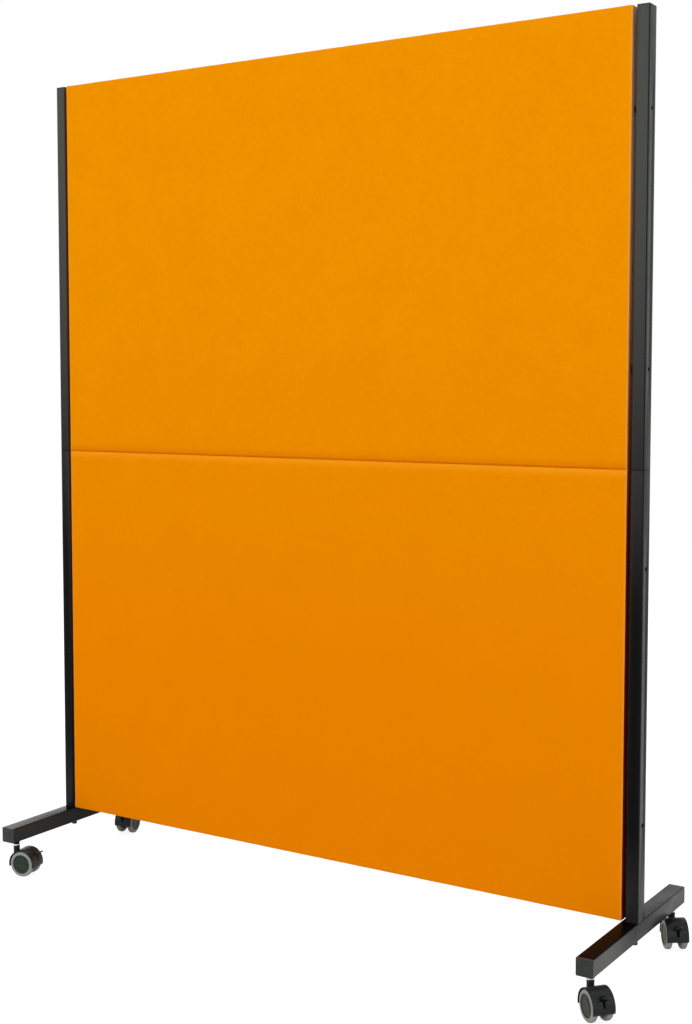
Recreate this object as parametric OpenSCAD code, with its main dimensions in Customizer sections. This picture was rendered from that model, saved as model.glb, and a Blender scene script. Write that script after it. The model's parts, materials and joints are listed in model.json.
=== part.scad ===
// Rolling partition: two upholstered panels stacked between steel posts, on two feet with castors.
// +X runs along the panels, the front faces -Y, +Z is up; the origin is on the floor, midway
// between the two feet. All sizes are in millimetres.

/* [Overall] */
// Width over the outer faces of the two feet
overall_w = 1712; // [1200:1:2200]
// How far the posts stand ahead of the middle of the feet
post_forward = 6; // [0:1:30]

/* [Panels] */
// Height of the lower module, from the top of the feet to the seam
lower_module_h = 1006; // [800:1:1200]
// Height of the upper module, from the seam to the top of the posts
upper_module_h = 994; // [600:1:1200]
// Thickness of an upholstered panel
panel_t = 45; // [42:0.5:60]
// Shadow gap between a panel and each post
side_gap = 8; // [4:0.5:14]
// Gap between the lower panel and the top of the feet
foot_gap = 1; // [1:0.5:12]
// Gap between the two panels at the seam
seam_gap = 1; // [1:0.5:6]
// Radius of the upholstered edges
edge_r = 7; // [4:0.5:10]
// Radius of a panel's four corners, seen from the front
corner_r = 3.5; // [2:0.5:10]
// Thickness of the fabric with the padding under it
cover_t = 3.5; // [2.5:0.5:5]
// Width of the timber rails inside a panel
rail_w = 60; // [45:1:100]

/* [Panel screws] */
// Distance of each screw from the end of its module
screw_inset = 218; // [120:1:300]
// Screw diameter
screw_d = 5; // [4:0.5:6]
// Diameter of the screw head
screw_head_d = 8.6; // [8:0.2:10]
// Height of the screw head
screw_head_h = 3.2; // [2:0.2:4]
// Diameter of the spacer between post and panel
spacer_d = 16; // [12:1:20]
// Diameter of the threaded insert in the timber
insert_d = 10; // [8:0.5:12]
// Length of the threaded insert
insert_l = 18; // [12:1:25]
// Gap round a screw, in every hole that it passes
screw_clearance = 0.3; // [0.1:0.1:0.5]
// Gap round a screw head, in the hole that lets it into the post
access_clearance = 0.7; // [0.3:0.1:1.5]

/* [Posts] */
// Width of a post tube, along the panels
post_w = 30; // [24:1:38]
// Depth of a post tube
post_d = 40; // [34:1:42]
// Wall of a post tube
post_wall = 2; // [1.5:0.5:3]
// Corner radius of a post tube
post_r = 3; // [2:0.5:4]
// Length of the tube that joins the lower and upper posts inside
joiner_l = 160; // [100:1:240]
// Wall of the joining tube
joiner_wall = 2; // [1.5:0.5:3]
// Gap round what slides into a tube: joiner, plugs and cap legs
slip = 0.1; // [0.05:0.05:0.3]
// Thickness of the flange of a post cap
post_cap_t = 3; // [2:0.5:6]
// Depth of the leg of a post cap inside the tube
post_cap_leg = 18; // [10:1:30]

/* [Feet] */
// Length of a foot over its end caps
foot_len = 540; // [400:1:700]
// Width of a foot tube
foot_w = 40; // [38:1:50]
// Height of a foot tube
foot_h = 40; // [34:1:50]
// Wall of a foot tube
foot_wall = 2; // [1.5:0.5:3]
// Corner radius of a foot tube
foot_r = 3; // [2:0.5:4]
// Thickness of the flange of an end cap
end_cap_t = 4; // [2:0.5:8]
// Depth of the leg of an end cap inside the tube
end_cap_leg = 8; // [6:1:14]
// Wall of the hollow leg of a cap
cap_leg_wall = 2; // [1:0.5:3]
// Radius on the outer edges of a cap
cap_edge_r = 1.2; // [0.6:0.2:1.8]

/* [Foot bolts] */
// Diameter of the bolt that holds a post on its foot
bolt_d = 8; // [6:1:10]
// Width of the bolt's hexagon head across its flats
bolt_head_af = 13; // [11:1:17]
// Height of the bolt's head
bolt_head_h = 12; // [4:0.5:14]
// Diameter of the washer under the head
washer_d = 18; // [17:1:24]
// Thickness of the washer
washer_t = 2; // [1:0.2:2.4]
// Height of the threaded plug in the bottom of a post
plug_h = 28; // [20:1:40]
// How far the bolt stops short of the top of the plug
bolt_short = 2; // [0:1:6]
// Gap round the bolt in every hole
bolt_clearance = 0.25; // [0.1:0.05:0.5]

/* [Castors] */
// Height from the floor to the underside of the feet
castor_h = 92; // [90:1:110]
// Distance of a castor's stem from the end of its foot
castor_inset = 33; // [26:1:60]
// Distance from the stem to the axle
castor_trail = 29; // [27:1:33]
// Diameter of a wheel over its tread
wheel_d = 68; // [64:1:70]
// Width of one wheel
wheel_w = 14; // [12:0.5:16]
// Distance between the middles of the two wheels
wheel_spacing = 36; // [34:0.5:42]
// Diameter of the wheel's hub, where the tread begins
hub_d = 51; // [44:1:54]
// Radius of the shoulders of the tread
tread_shoulder_r = 5; // [3:0.5:5.5]
// Thickness of the wheel's outer face
face_t = 2.5; // [1.8:0.1:3]
// How far the outer face lies below the side of the tread
face_recess = 1.4; // [0.6:0.1:2]
// Width of the rim round the outer face
rim_t = 3.5; // [2:0.5:6]
// How far the rim lies below the side of the tread
rim_recess = 0.4; // [0.2:0.1:0.6]
// Diameter of the raised middle of the outer face
hub_cap_d = 26; // [16:1:36]
// Height of the raised middle over the outer face
hub_cap_h = 0.6; // [0.2:0.1:0.8]
// Diameter of the hub's barrel on the axle
barrel_d = 16; // [14:1:24]
// Diameter of the axle
axle_d = 8; // [6:0.5:9]
// Distance from the axle's ends to the sides of the wheels
axle_short = 2.5; // [2.3:0.1:6]
// Direction of the trail of the front left castor, from +X towards +Y
front_left_heading = 12; // [-180:1:180]
// Direction of the trail of the front right castor
front_right_heading = -40; // [-180:1:180]
// Direction of the trail of the back left castor
back_left_heading = -76; // [-180:1:180]
// Direction of the trail of the back right castor
back_right_heading = -55; // [-180:1:180]

/* [Castor housing] */
// Width of the hood over the wheels
hood_w = 52; // [50:1:60]
// Gap between the tread and the inside of the hood
hood_gap = 1.2; // [0.8:0.1:1.8]
// Thickness of the hood
hood_wall = 2.4; // [2:0.1:3]
// Radius of the hood's shoulders
hood_shoulder_r = 1.8; // [1:0.2:2]
// How far the hood reaches below the axle
hood_drop = 7.5; // [4:0.5:12]
// Diameter of the boss round the axle
boss_d = 16; // [13:1:30]
// Thickness of the web between the wheels
web_t = 12; // [8:1:14]
// Radius of the web below the brake lever
web_r = 22; // [18:1:23]
// Diameter of the neck that the stem goes into
neck_d = 16; // [14:0.5:17]
// How far the lip at the top of the neck stands out
neck_lip = 0.4; // [0.2:0.1:1]
// Height of the lip at the top of the neck
neck_lip_h = 3; // [2:0.5:5]
// Height of the bottom of the neck over the axle
neck_low = 8; // [4:1:12]
// Gap between the wheels and what stands beside them
wheel_side_gap = 0.5; // [0.3:0.1:1]
// Gap round a wheel's bore on the axle, and round the stem in the neck
running_gap = 0.05; // [0.02:0.01:0.1]

/* [Castor stems] */
// Diameter of the stem's pin in the neck
stem_pin_d = 9; // [7:0.5:10]
// Diameter of the stem's thread
stem_thread_d = 10; // [8:1:12]
// Length of the stem's thread
stem_thread_l = 28; // [16:1:30]
// Diameter of the bright collar on the stem
collar_d = 17.5; // [16:0.5:22]
// Thickness of the bright collar
collar_t = 3.5; // [1:0.5:5]
// Gap between the collar and the neck that turns below it
swivel_gap = 0.3; // [0.2:0.1:0.6]
// Diameter of the flange of the threaded bush under the foot
bush_flange_d = 17; // [16:1:24]
// Thickness of the bush's flange
bush_flange_t = 11; // [4:0.5:12]
// Diameter of the bush's body inside the foot
bush_body_d = 15; // [14:0.5:16]
// Height of the bush's body above the flange
bush_body_h = 20; // [14:1:28]

/* [Brake levers] */
// Angle of the lever's pivot over the axle
lever_pivot_angle = 50; // [49:1:53]
// Distance of the lever's pivot from the axle
lever_pivot_r = 28; // [27:0.5:29]
// Distance from the lever's pivot to its tip
lever_reach = 36; // [32:1:42]
// Upward slope of the raised lever
lever_rise = 22; // [18:1:26]
// Thickness of the lever's tab
lever_t = 2.8; // [2:0.2:3.4]
// How far the sides of the tab stand in from the ends of the barrel
lever_tab_inset = 0.5; // [0.3:0.1:1.5]
// Corner radius of the lever's tip
lever_tip_r = 5; // [2:0.5:6]
// Width of the rib under the tab
lever_rib_w = 5; // [3:0.5:6]
// Depth of the rib under the tab
lever_rib_h = 3.5; // [2:0.5:4]
// Distance from the pivot to the deepest point of the rib
lever_rib_deepest = 12; // [10:1:16]
// Distance from the pivot to the end of the rib
lever_rib_end = 30; // [22:1:32]
// Diameter of the barrel round the lever's pin
lever_barrel_d = 6; // [5:0.2:6.6]
// Diameter of the lever's pin
lever_pin_d = 3; // [2:0.2:3.6]
// Gap at each side of the lever
lever_side_gap = 0.3; // [0.2:0.1:0.8]
// Thickness of the ears that hold the pin
ear_t = 3; // [2:0.1:3.4]
// Width of the ears
ear_w = 7.5; // [6:0.5:8.5]
// Angle over the axle at which the lever's window in the hood ends
window_low_angle = 32; // [28:1:33]
// Angle over the axle at which the window begins
window_high_angle = 48; // [47:1:52]
// Angle over the axle at which the web widens to the hood, behind the lever
web_angle = 68; // [64:1:80]
// Width of the slot below the window
slot_w = 6.6; // [6.2:0.1:8]
// Angle over the axle at which the slot ends
slot_low_angle = 9; // [2:1:16]

/* [Hidden] */
$fn = 72;
// How far a cut runs past the solid, and a solid into the one it joins
overlap = 1;
// Longer than any castor
far_reach = 100;

SIDES = [["left", -1], ["right", 1]];
ENDS = [["front", -1], ["back", 1]];
CASTOR_PARTS = ["stem", "housing", "axle", "lever", "lever_pin", "inner_hub", "inner_tread",
    "outer_hub", "outer_tread"];

// Levels over the floor
foot_low = castor_h;
foot_top = foot_low + foot_h;
seam_z = foot_top + lower_module_h;
top_z = seam_z + upper_module_h;
joiner_low = seam_z - joiner_l / 2;

// Places in the plan
foot_x = overall_w / 2 - foot_w / 2;
post_x = overall_w / 2 - post_w / 2;
post_y = -post_forward;
castor_y = foot_len / 2 - castor_inset;
panel_w = overall_w - 2 * (post_w + side_gap);
inner_w = panel_w - 2 * cover_t;
inner_t = panel_t - 2 * cover_t;
foot_tube_l = foot_len - 2 * end_cap_t;

// The two panels as [bottom, top], and the height of every panel screw
LOWER_PANEL = [foot_top + foot_gap, seam_z - seam_gap / 2];
UPPER_PANEL = [seam_z + seam_gap / 2, top_z];
SCREW_LEVELS = [foot_top + screw_inset, seam_z - screw_inset, seam_z + screw_inset,
    top_z - screw_inset];

// Screws and bolts
access_d = screw_head_d + 2 * access_clearance;
screw_hole_d = screw_d + 2 * screw_clearance;
bolt_hole_d = bolt_d + 2 * bolt_clearance;
screw_shank_l = post_wall + side_gap + cover_t + insert_l;

// Castors
wheel_r = wheel_d / 2;
wheel_inside = wheel_spacing / 2 - wheel_w / 2;
wheel_outside = wheel_spacing / 2 + wheel_w / 2;
hood_in_r = wheel_r + hood_gap;
hood_r = hood_in_r + hood_wall;
collar_low = castor_h - bush_flange_t - collar_t;
neck_top = collar_low - swivel_gap;
neck_bottom = wheel_r + neck_low;
ear_outside = wheel_inside - wheel_side_gap;
ear_inside = ear_outside - ear_t;
lever_w = 2 * (ear_inside - lever_side_gap);
window_w = 2 * ear_inside;
axle_l = 2 * (wheel_outside - axle_short);

function heading(end, side) = end < 0
    ? (side < 0 ? front_left_heading : front_right_heading)
    : (side < 0 ? back_left_heading : back_right_heading);

// A rectangle with round corners, about its middle
module round_rect(w, d, r) {
    square([w - 2 * r, d], center = true);
    square([w, d - 2 * r], center = true);
    for (x = [-1, 1], y = [-1, 1]) {
        translate([x * (w / 2 - r), y * (d / 2 - r)]) circle(r);
    }
}

// The section of a rectangular tube with round corners
module tube_section(w, d, wall, r) {
    difference() {
        round_rect(w, d, r);
        round_rect(w - 2 * wall, d - 2 * wall, max(r - wall, wall / 4));
    }
}

// A block with round edges, from z = 0 up, about the middle in X and Y. outline_r rounds its
// corners as seen along Y, and r rounds its other edges.
module soft_block(w, d, h, r, outline_r) {
    intersection() {
        linear_extrude(h) round_rect(w, d, r);
        translate([0, d, h / 2]) rotate([90, 0, 0]) linear_extrude(2 * d)
            round_rect(w, h, outline_r);
        translate([-w, 0, h / 2]) rotate([90, 0, 90]) linear_extrude(2 * w) round_rect(d, h, r);
    }
}

// The flange of a cap, from z = 0 up, with its upper edges rounded
module cap_flange(w, d, t, r) {
    intersection() {
        translate([0, 0, -t]) soft_block(w, d, 2 * t, cap_edge_r, cap_edge_r);
        linear_extrude(t) round_rect(w, d, r);
    }
}

// A bar along +X from its own origin
module bar_x(d, l) {
    rotate([0, 90, 0]) cylinder(d = d, h = l);
}

// Both sides of the partition: what is drawn for the right side is turned for the left
module both_sides() {
    for (s = SIDES) mirror([s[1] < 0 ? 1 : 0, 0, 0]) children();
}

module one_side(side) {
    mirror([side < 0 ? 1 : 0, 0, 0]) children();
}

// ---------------------------------------------------------------- feet

module foot(side) {
    color([0.13, 0.14, 0.14]) one_side(side) difference() {
        translate([foot_x, foot_tube_l / 2, foot_low + foot_h / 2])
            rotate([90, 0, 0])
                linear_extrude(foot_tube_l) tube_section(foot_w, foot_h, foot_wall, foot_r);
        for (e = ENDS) {
            translate([foot_x, e[1] * castor_y, foot_low - overlap])
                cylinder(d = bush_body_d + 2 * slip, h = foot_wall + 2 * overlap);
        }
        translate([post_x, post_y, foot_low - overlap])
            cylinder(d = bolt_hole_d, h = foot_h + 2 * overlap);
    }
}

// One end cap, with its flange outward along -Y
module end_cap() {
    leg_w = foot_w - 2 * foot_wall - 2 * slip;
    leg_h = foot_h - 2 * foot_wall - 2 * slip;
    leg_r = max(foot_r - foot_wall, foot_wall / 4);
    translate([foot_x, -foot_tube_l / 2, foot_low + foot_h / 2]) {
        rotate([90, 0, 0]) cap_flange(foot_w, foot_h, end_cap_t, foot_r);
        rotate([-90, 0, 0])
            linear_extrude(end_cap_leg) tube_section(leg_w, leg_h, cap_leg_wall, leg_r);
    }
}

module foot_end_caps() {
    color([0.10, 0.11, 0.11]) both_sides() {
        end_cap();
        mirror([0, 1, 0]) end_cap();
    }
}

module castor_bush() {
    difference() {
        union() {
            translate([0, 0, -bush_flange_t]) cylinder(d = bush_flange_d, h = bush_flange_t);
            cylinder(d = bush_body_d, h = bush_body_h);
        }
        translate([0, 0, -bush_flange_t - overlap])
            cylinder(d = stem_thread_d + 2 * slip, h = bush_flange_t + bush_body_h + 2 * overlap);
    }
}

module castor_bushes() {
    color([0.12, 0.12, 0.13]) both_sides() {
        for (e = ENDS) translate([foot_x, e[1] * castor_y, foot_low]) castor_bush();
    }
}

module foot_bolts() {
    color([0.25, 0.25, 0.26]) both_sides() {
        translate([post_x, post_y, foot_low - washer_t]) {
            translate([0, 0, -bolt_head_h])
                cylinder(d = bolt_head_af / cos(30), h = bolt_head_h, $fn = 6);
            cylinder(d = bolt_d, h = washer_t + foot_h + plug_h - bolt_short);
        }
    }
}

module foot_washers() {
    color([0.5, 0.5, 0.52]) both_sides() {
        translate([post_x, post_y, foot_low - washer_t]) difference() {
            cylinder(d = washer_d, h = washer_t);
            translate([0, 0, -overlap]) cylinder(d = bolt_hole_d, h = washer_t + 2 * overlap);
        }
    }
}

// ---------------------------------------------------------------- posts

// A stretch of a post between two levels, with the holes of the panel screws in it
module post(side, low, high) {
    color([0.13, 0.14, 0.14]) one_side(side) difference() {
        translate([post_x, post_y, low])
            linear_extrude(high - low) tube_section(post_w, post_d, post_wall, post_r);
        for (z = SCREW_LEVELS) if (z > low && z < high) {
            translate([post_x, post_y, z]) {
                bar_x(access_d, post_w);
                mirror([1, 0, 0]) bar_x(screw_hole_d, post_w);
            }
        }
    }
}

module post_joiners() {
    w = post_w - 2 * post_wall - 2 * slip;
    d = post_d - 2 * post_wall - 2 * slip;
    color([0.6, 0.6, 0.62]) both_sides() {
        translate([post_x, post_y, joiner_low])
            linear_extrude(joiner_l)
                tube_section(w, d, joiner_wall, max(post_r - post_wall, post_wall / 4));
    }
}

module post_plugs() {
    w = post_w - 2 * post_wall - 2 * slip;
    d = post_d - 2 * post_wall - 2 * slip;
    color([0.55, 0.55, 0.57]) both_sides() {
        translate([post_x, post_y, foot_top]) difference() {
            linear_extrude(plug_h) round_rect(w, d, max(post_r - post_wall, post_wall / 4));
            translate([0, 0, -overlap]) cylinder(d = bolt_hole_d, h = plug_h + 2 * overlap);
        }
    }
}

module post_caps() {
    leg_w = post_w - 2 * post_wall - 2 * slip;
    leg_d = post_d - 2 * post_wall - 2 * slip;
    leg_r = max(post_r - post_wall, post_wall / 4);
    color([0.10, 0.11, 0.11]) both_sides() {
        translate([post_x, post_y, top_z - post_cap_t]) {
            cap_flange(post_w, post_d, post_cap_t, post_r);
            translate([0, 0, -post_cap_leg])
                linear_extrude(post_cap_leg) tube_section(leg_w, leg_d, cap_leg_wall, leg_r);
        }
    }
}

// ---------------------------------------------------------------- panels

// The block inside a panel's cover
module panel_inner(span) {
    translate([-inner_w / 2, post_y - inner_t / 2, span[0] + cover_t])
        cube([inner_w, inner_t, span[1] - span[0] - 2 * cover_t]);
}

// The opening within the timber rails of a panel
module panel_window(span) {
    translate([-inner_w / 2 + rail_w, post_y - panel_t, span[0] + cover_t + rail_w])
        cube([inner_w - 2 * rail_w, 2 * panel_t, span[1] - span[0] - 2 * (cover_t + rail_w)]);
}

module panel_frame(span) {
    color([0.80, 0.64, 0.42]) difference() {
        panel_inner(span);
        panel_window(span);
        both_sides() for (z = SCREW_LEVELS) {
            translate([inner_w / 2 - insert_l, post_y, z]) bar_x(insert_d, insert_l + overlap);
        }
    }
}

module panel_core(span) {
    color([0.72, 0.66, 0.55]) intersection() {
        panel_inner(span);
        panel_window(span);
    }
}

module panel_cover(span) {
    h = span[1] - span[0];
    color([0.91, 0.54, 0.02]) difference() {
        translate([0, post_y, span[0]]) soft_block(panel_w, panel_t, h, edge_r, corner_r);
        panel_inner(span);
        both_sides() for (z = SCREW_LEVELS) {
            translate([panel_w / 2 - cover_t - overlap, post_y, z])
                bar_x(screw_hole_d, cover_t + 2 * overlap);
        }
    }
}

module panel_screws() {
    color([0.08, 0.08, 0.08]) both_sides() for (z = SCREW_LEVELS) {
        translate([overall_w / 2 - post_w + post_wall, post_y, z]) {
            bar_x(screw_head_d, screw_head_h);
            mirror([1, 0, 0]) bar_x(screw_d, screw_shank_l);
        }
    }
}

module panel_spacers() {
    color([0.07, 0.07, 0.07]) both_sides() for (z = SCREW_LEVELS) {
        translate([panel_w / 2, post_y, z]) difference() {
            bar_x(spacer_d, side_gap);
            translate([-overlap, 0, 0]) bar_x(screw_hole_d, side_gap + 2 * overlap);
        }
    }
}

module panel_inserts() {
    color([0.75, 0.72, 0.55]) both_sides() for (z = SCREW_LEVELS) {
        translate([inner_w / 2 - insert_l, post_y, z]) difference() {
            bar_x(insert_d, insert_l);
            translate([-overlap, 0, 0]) bar_x(screw_d + 2 * slip, insert_l + 2 * overlap);
        }
    }
}

// ---------------------------------------------------------------- castors
// A castor is drawn with its stem over the origin of the floor, its trail along +X and its
// axle along Y, and is then turned to its heading and set under its foot.

module at_castor(end, side) {
    translate([side * foot_x, end * castor_y, 0]) rotate([0, 0, heading(end, side)]) children();
}

// Turns an outline drawn in (trail, up) about the axle into a slab of width w across the castor
module across(w) {
    translate([castor_trail, 0, wheel_r]) rotate([90, 0, 0]) linear_extrude(w, center = true)
        children();
}

// Revolves an outline of (radius, distance from the castor's middle) about the axle
module about_axle(side = 1) {
    translate([castor_trail, 0, wheel_r]) rotate([-90 * side, 0, 0]) rotate_extrude() children();
}

// A wedge about the axle between two angles, out past the hood
module wedge(low, high) {
    middle = (low + high) / 2;
    polygon([
        [0, 0],
        far_reach * [cos(low), sin(low)],
        far_reach * [cos(middle), sin(middle)],
        far_reach * [cos(high), sin(high)]
    ]);
}

// The hood as a solid of revolution, filled in, with round shoulders
module hood_outside() {
    flat_w = hood_w - 2 * hood_shoulder_r;
    about_axle() {
        translate([0, -hood_w / 2]) square([hood_r - hood_shoulder_r, hood_w]);
        translate([0, -flat_w / 2]) square([hood_r, flat_w]);
        for (u = [-1, 1]) {
            translate([hood_r - hood_shoulder_r, u * flat_w / 2]) circle(hood_shoulder_r);
        }
    }
}

module hood() {
    difference() {
        hood_outside();
        about_axle() translate([0, -hood_w]) square([hood_in_r, 2 * hood_w]);
        across(2 * hood_w) translate([-far_reach, -far_reach - hood_drop])
            square([2 * far_reach, far_reach]);
    }
}

// The web between the wheels: a full disc behind, and a smaller one in front, under the lever
module web() {
    across(web_t) difference() {
        union() {
            circle(web_r);
            difference() {
                circle(hood_in_r + overlap);
                wedge(-web_angle, 0);
                wedge(-overlap, web_angle);
            }
        }
        translate([-far_reach, -far_reach - hood_drop]) square([2 * far_reach, far_reach]);
    }
}

// The two ears that hold the lever's pin, inside the hood
module ears() {
    for (side = [-1, 1]) {
        translate([0, side * (ear_inside + ear_t / 2), 0]) across(ear_t) {
            rotate(lever_pivot_angle) {
                translate([lever_pivot_r, 0]) circle(d = ear_w);
                translate([lever_pivot_r, -ear_w / 2])
                    square([hood_in_r + overlap - lever_pivot_r, ear_w]);
            }
        }
    }
}

// The window that the lever leaves the hood by, and the slot under it
module lever_openings() {
    intersection() {
        union() {
            across(window_w) wedge(window_low_angle, window_high_angle);
            across(slot_w) wedge(slot_low_angle, window_high_angle);
        }
        about_axle() translate([web_r + overlap, -hood_w]) square([far_reach, 2 * hood_w]);
    }
}

module lever_pivot() {
    translate([castor_trail + lever_pivot_r * cos(lever_pivot_angle), 0,
        wheel_r + lever_pivot_r * sin(lever_pivot_angle)]) rotate([90, 0, 0]) children();
}

module castor_housing() {
    color([0.16, 0.17, 0.18]) difference() {
        union() {
            difference() {
                union() {
                    hood();
                    web();
                }
                lever_openings();
            }
            ears();
            // boss round the axle
            across(2 * (wheel_inside - wheel_side_gap)) circle(d = boss_d);
            // neck round the stem, with its lip
            translate([0, 0, neck_bottom]) cylinder(d = neck_d, h = neck_top - neck_bottom);
            translate([0, 0, neck_top - neck_lip_h])
                cylinder(d = neck_d + 2 * neck_lip, h = neck_lip_h);
        }
        across(2 * hood_w) circle(d = axle_d);
        translate([0, 0, neck_bottom - overlap])
            cylinder(d = stem_pin_d + 2 * running_gap, h = neck_top - neck_bottom + 2 * overlap);
        lever_pivot() cylinder(d = lever_pin_d, h = 2 * ear_outside + overlap, center = true);
    }
}

// The stem: pin in the neck, bright collar, and thread up into the bush
module castor_stem() {
    color([0.78, 0.78, 0.80]) {
        translate([0, 0, neck_bottom]) cylinder(d = stem_pin_d, h = collar_low - neck_bottom);
        translate([0, 0, collar_low]) cylinder(d = collar_d, h = collar_t);
        translate([0, 0, collar_low + collar_t]) cylinder(d = stem_thread_d, h = stem_thread_l);
    }
}

module castor_axle() {
    color([0.6, 0.6, 0.62]) across(axle_l) circle(d = axle_d);
}

// The hub: barrel on the axle, recessed face outward, and the rim that carries the tread
module castor_hub(side) {
    face_top = wheel_outside - face_recess;
    rim_low = wheel_inside + overlap;
    bore_top = axle_l / 2 + swivel_gap;
    color([0.24, 0.26, 0.26]) about_axle(side) difference() {
        union() {
            translate([0, wheel_inside]) square([barrel_d / 2, face_top - wheel_inside]);
            translate([0, face_top - face_t]) square([hub_d / 2, face_t]);
            translate([0, face_top - face_t]) square([hub_cap_d / 2, face_t + hub_cap_h]);
            translate([hub_d / 2 - rim_t, rim_low])
                square([rim_t, wheel_outside - rim_recess - rim_low]);
        }
        translate([0, wheel_inside - overlap])
            square([axle_d / 2 + running_gap, bore_top - wheel_inside + overlap]);
    }
}

// The soft tread, with round shoulders
module castor_tread(side) {
    crown_w = wheel_w - 2 * tread_shoulder_r;
    color([0.58, 0.60, 0.58]) about_axle(side) difference() {
        union() {
            translate([0, wheel_inside]) square([wheel_r - tread_shoulder_r, wheel_w]);
            translate([0, wheel_spacing / 2 - crown_w / 2]) square([wheel_r, crown_w]);
            for (u = [-1, 1]) {
                translate([wheel_r - tread_shoulder_r, wheel_spacing / 2 + u * crown_w / 2])
                    circle(tread_shoulder_r);
            }
        }
        translate([0, wheel_inside - overlap]) square([hub_d / 2, wheel_w + 2 * overlap]);
    }
}

// The brake lever, raised: barrel, sloping tab with a round tip, and the rib under it
module castor_lever() {
    tab_w = lever_w - 2 * lever_tab_inset;
    color([0.15, 0.15, 0.16]) difference() {
        union() {
            lever_pivot() cylinder(d = lever_barrel_d, h = lever_w, center = true);
            lever_pivot() rotate([-90, 0, 0]) rotate([0, -lever_rise, 0]) {
                linear_extrude(lever_t, center = true) intersection() {
                    round_rect(2 * lever_reach, tab_w, lever_tip_r);
                    translate([0, -lever_w]) square([lever_reach + overlap, 2 * lever_w]);
                }
                translate([0, lever_rib_w / 2, 0]) rotate([90, 0, 0]) linear_extrude(lever_rib_w)
                    polygon([
                        [0, 0],
                        [lever_rib_deepest, -lever_t / 2 - lever_rib_h],
                        [lever_rib_end, 0]
                    ]);
            }
        }
        lever_pivot()
            cylinder(d = lever_pin_d + 2 * running_gap, h = lever_w + 2 * overlap, center = true);
    }
}

module castor_lever_pin() {
    color([0.7, 0.7, 0.72]) lever_pivot()
        cylinder(d = lever_pin_d, h = 2 * ear_outside, center = true);
}

// ---------------------------------------------------------------- nodes

for (s = SIDES) {
    foot(s[1]);
    post(s[1], foot_top, seam_z);
    post(s[1], seam_z, top_z - post_cap_t);
}
foot_end_caps();
castor_bushes();
foot_bolts();
foot_washers();
post_joiners();
post_plugs();
post_caps();
panel_frame(LOWER_PANEL);  // panel_frame_lower
panel_frame(UPPER_PANEL);  // panel_frame_upper
panel_core(LOWER_PANEL);  // panel_core_lower
panel_core(UPPER_PANEL);  // panel_core_upper
panel_cover(LOWER_PANEL);  // panel_cover_lower
panel_cover(UPPER_PANEL);  // panel_cover_upper
panel_screws();
panel_spacers();
panel_inserts();
for (e = ENDS, s = SIDES) {
    castor = str("castor_", e[0], "_", s[0], "_");
    at_castor(e[1], s[1]) castor_stem();
    at_castor(e[1], s[1]) castor_housing();
    at_castor(e[1], s[1]) castor_axle();
    at_castor(e[1], s[1]) castor_lever();
    at_castor(e[1], s[1])
        castor_lever_pin();
    at_castor(e[1], s[1]) castor_hub(-1);
    at_castor(e[1], s[1])
        castor_tread(-1);
    at_castor(e[1], s[1]) castor_hub(1);
    at_castor(e[1], s[1])
        castor_tread(1);
}
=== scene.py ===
"""Dresses the rolling partition: upholstered panels between black posts, on feet with castors.

Every piece is modelled in metres where the frame says, rides on one of the frame's bodies and
stands for the node that it replaces. Every finish is made of shader nodes. The castors are
modelled once, with the stem over the origin and the wheels trailing along +X, and copied.
"""

import json
import logging
import math
from dataclasses import dataclass
from enum import Enum
from typing import Any, Callable, Mapping, Sequence, Union

import bmesh
import bpy
from mathutils import Matrix, Vector, noise


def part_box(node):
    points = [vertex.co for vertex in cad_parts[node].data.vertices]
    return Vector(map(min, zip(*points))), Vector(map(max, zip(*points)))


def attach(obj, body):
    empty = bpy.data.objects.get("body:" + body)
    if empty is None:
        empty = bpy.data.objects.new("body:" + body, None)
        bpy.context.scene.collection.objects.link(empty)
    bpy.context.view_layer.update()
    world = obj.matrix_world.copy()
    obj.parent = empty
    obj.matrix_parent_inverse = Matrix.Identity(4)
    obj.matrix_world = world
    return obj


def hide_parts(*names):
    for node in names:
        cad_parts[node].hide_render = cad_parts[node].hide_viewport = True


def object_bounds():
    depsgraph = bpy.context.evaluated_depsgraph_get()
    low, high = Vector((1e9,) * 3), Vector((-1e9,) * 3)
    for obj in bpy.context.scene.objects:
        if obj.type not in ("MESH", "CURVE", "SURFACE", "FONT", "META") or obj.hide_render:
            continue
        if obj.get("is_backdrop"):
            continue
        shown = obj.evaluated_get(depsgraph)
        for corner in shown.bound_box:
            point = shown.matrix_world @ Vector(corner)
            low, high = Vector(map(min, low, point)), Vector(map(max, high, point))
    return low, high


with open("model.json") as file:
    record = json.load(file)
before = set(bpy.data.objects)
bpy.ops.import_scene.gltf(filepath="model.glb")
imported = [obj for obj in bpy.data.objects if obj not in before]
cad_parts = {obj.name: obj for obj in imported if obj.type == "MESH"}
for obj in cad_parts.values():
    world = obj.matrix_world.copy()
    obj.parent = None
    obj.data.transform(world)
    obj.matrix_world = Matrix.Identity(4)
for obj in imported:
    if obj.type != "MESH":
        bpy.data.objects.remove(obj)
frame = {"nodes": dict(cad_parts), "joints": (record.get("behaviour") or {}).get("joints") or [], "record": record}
CAD_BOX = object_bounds()
LOG = logging.getLogger("partition")

Colour = tuple[float, float, float]
Place = tuple[float, float, float]
Profile = Sequence[tuple[float, float]]
Test = Callable[[Any], bool]

MM = 0.001
TINY = 1e-6
MERGE_REACH = 0.01 * MM
PARALLEL = 0.999
ALL_ROUND = ((2 * math.pi, 96),)
ALL_ROUND_SMALL = ((2 * math.pi, 48),)
STATIC_BODY = "frame"
ORIGIN = Vector((0, 0, 0))
X_AXIS, Y_AXIS, Z_AXIS = Vector((1, 0, 0)), Vector((0, 1, 0)), Vector((0, 0, 1))


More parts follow.
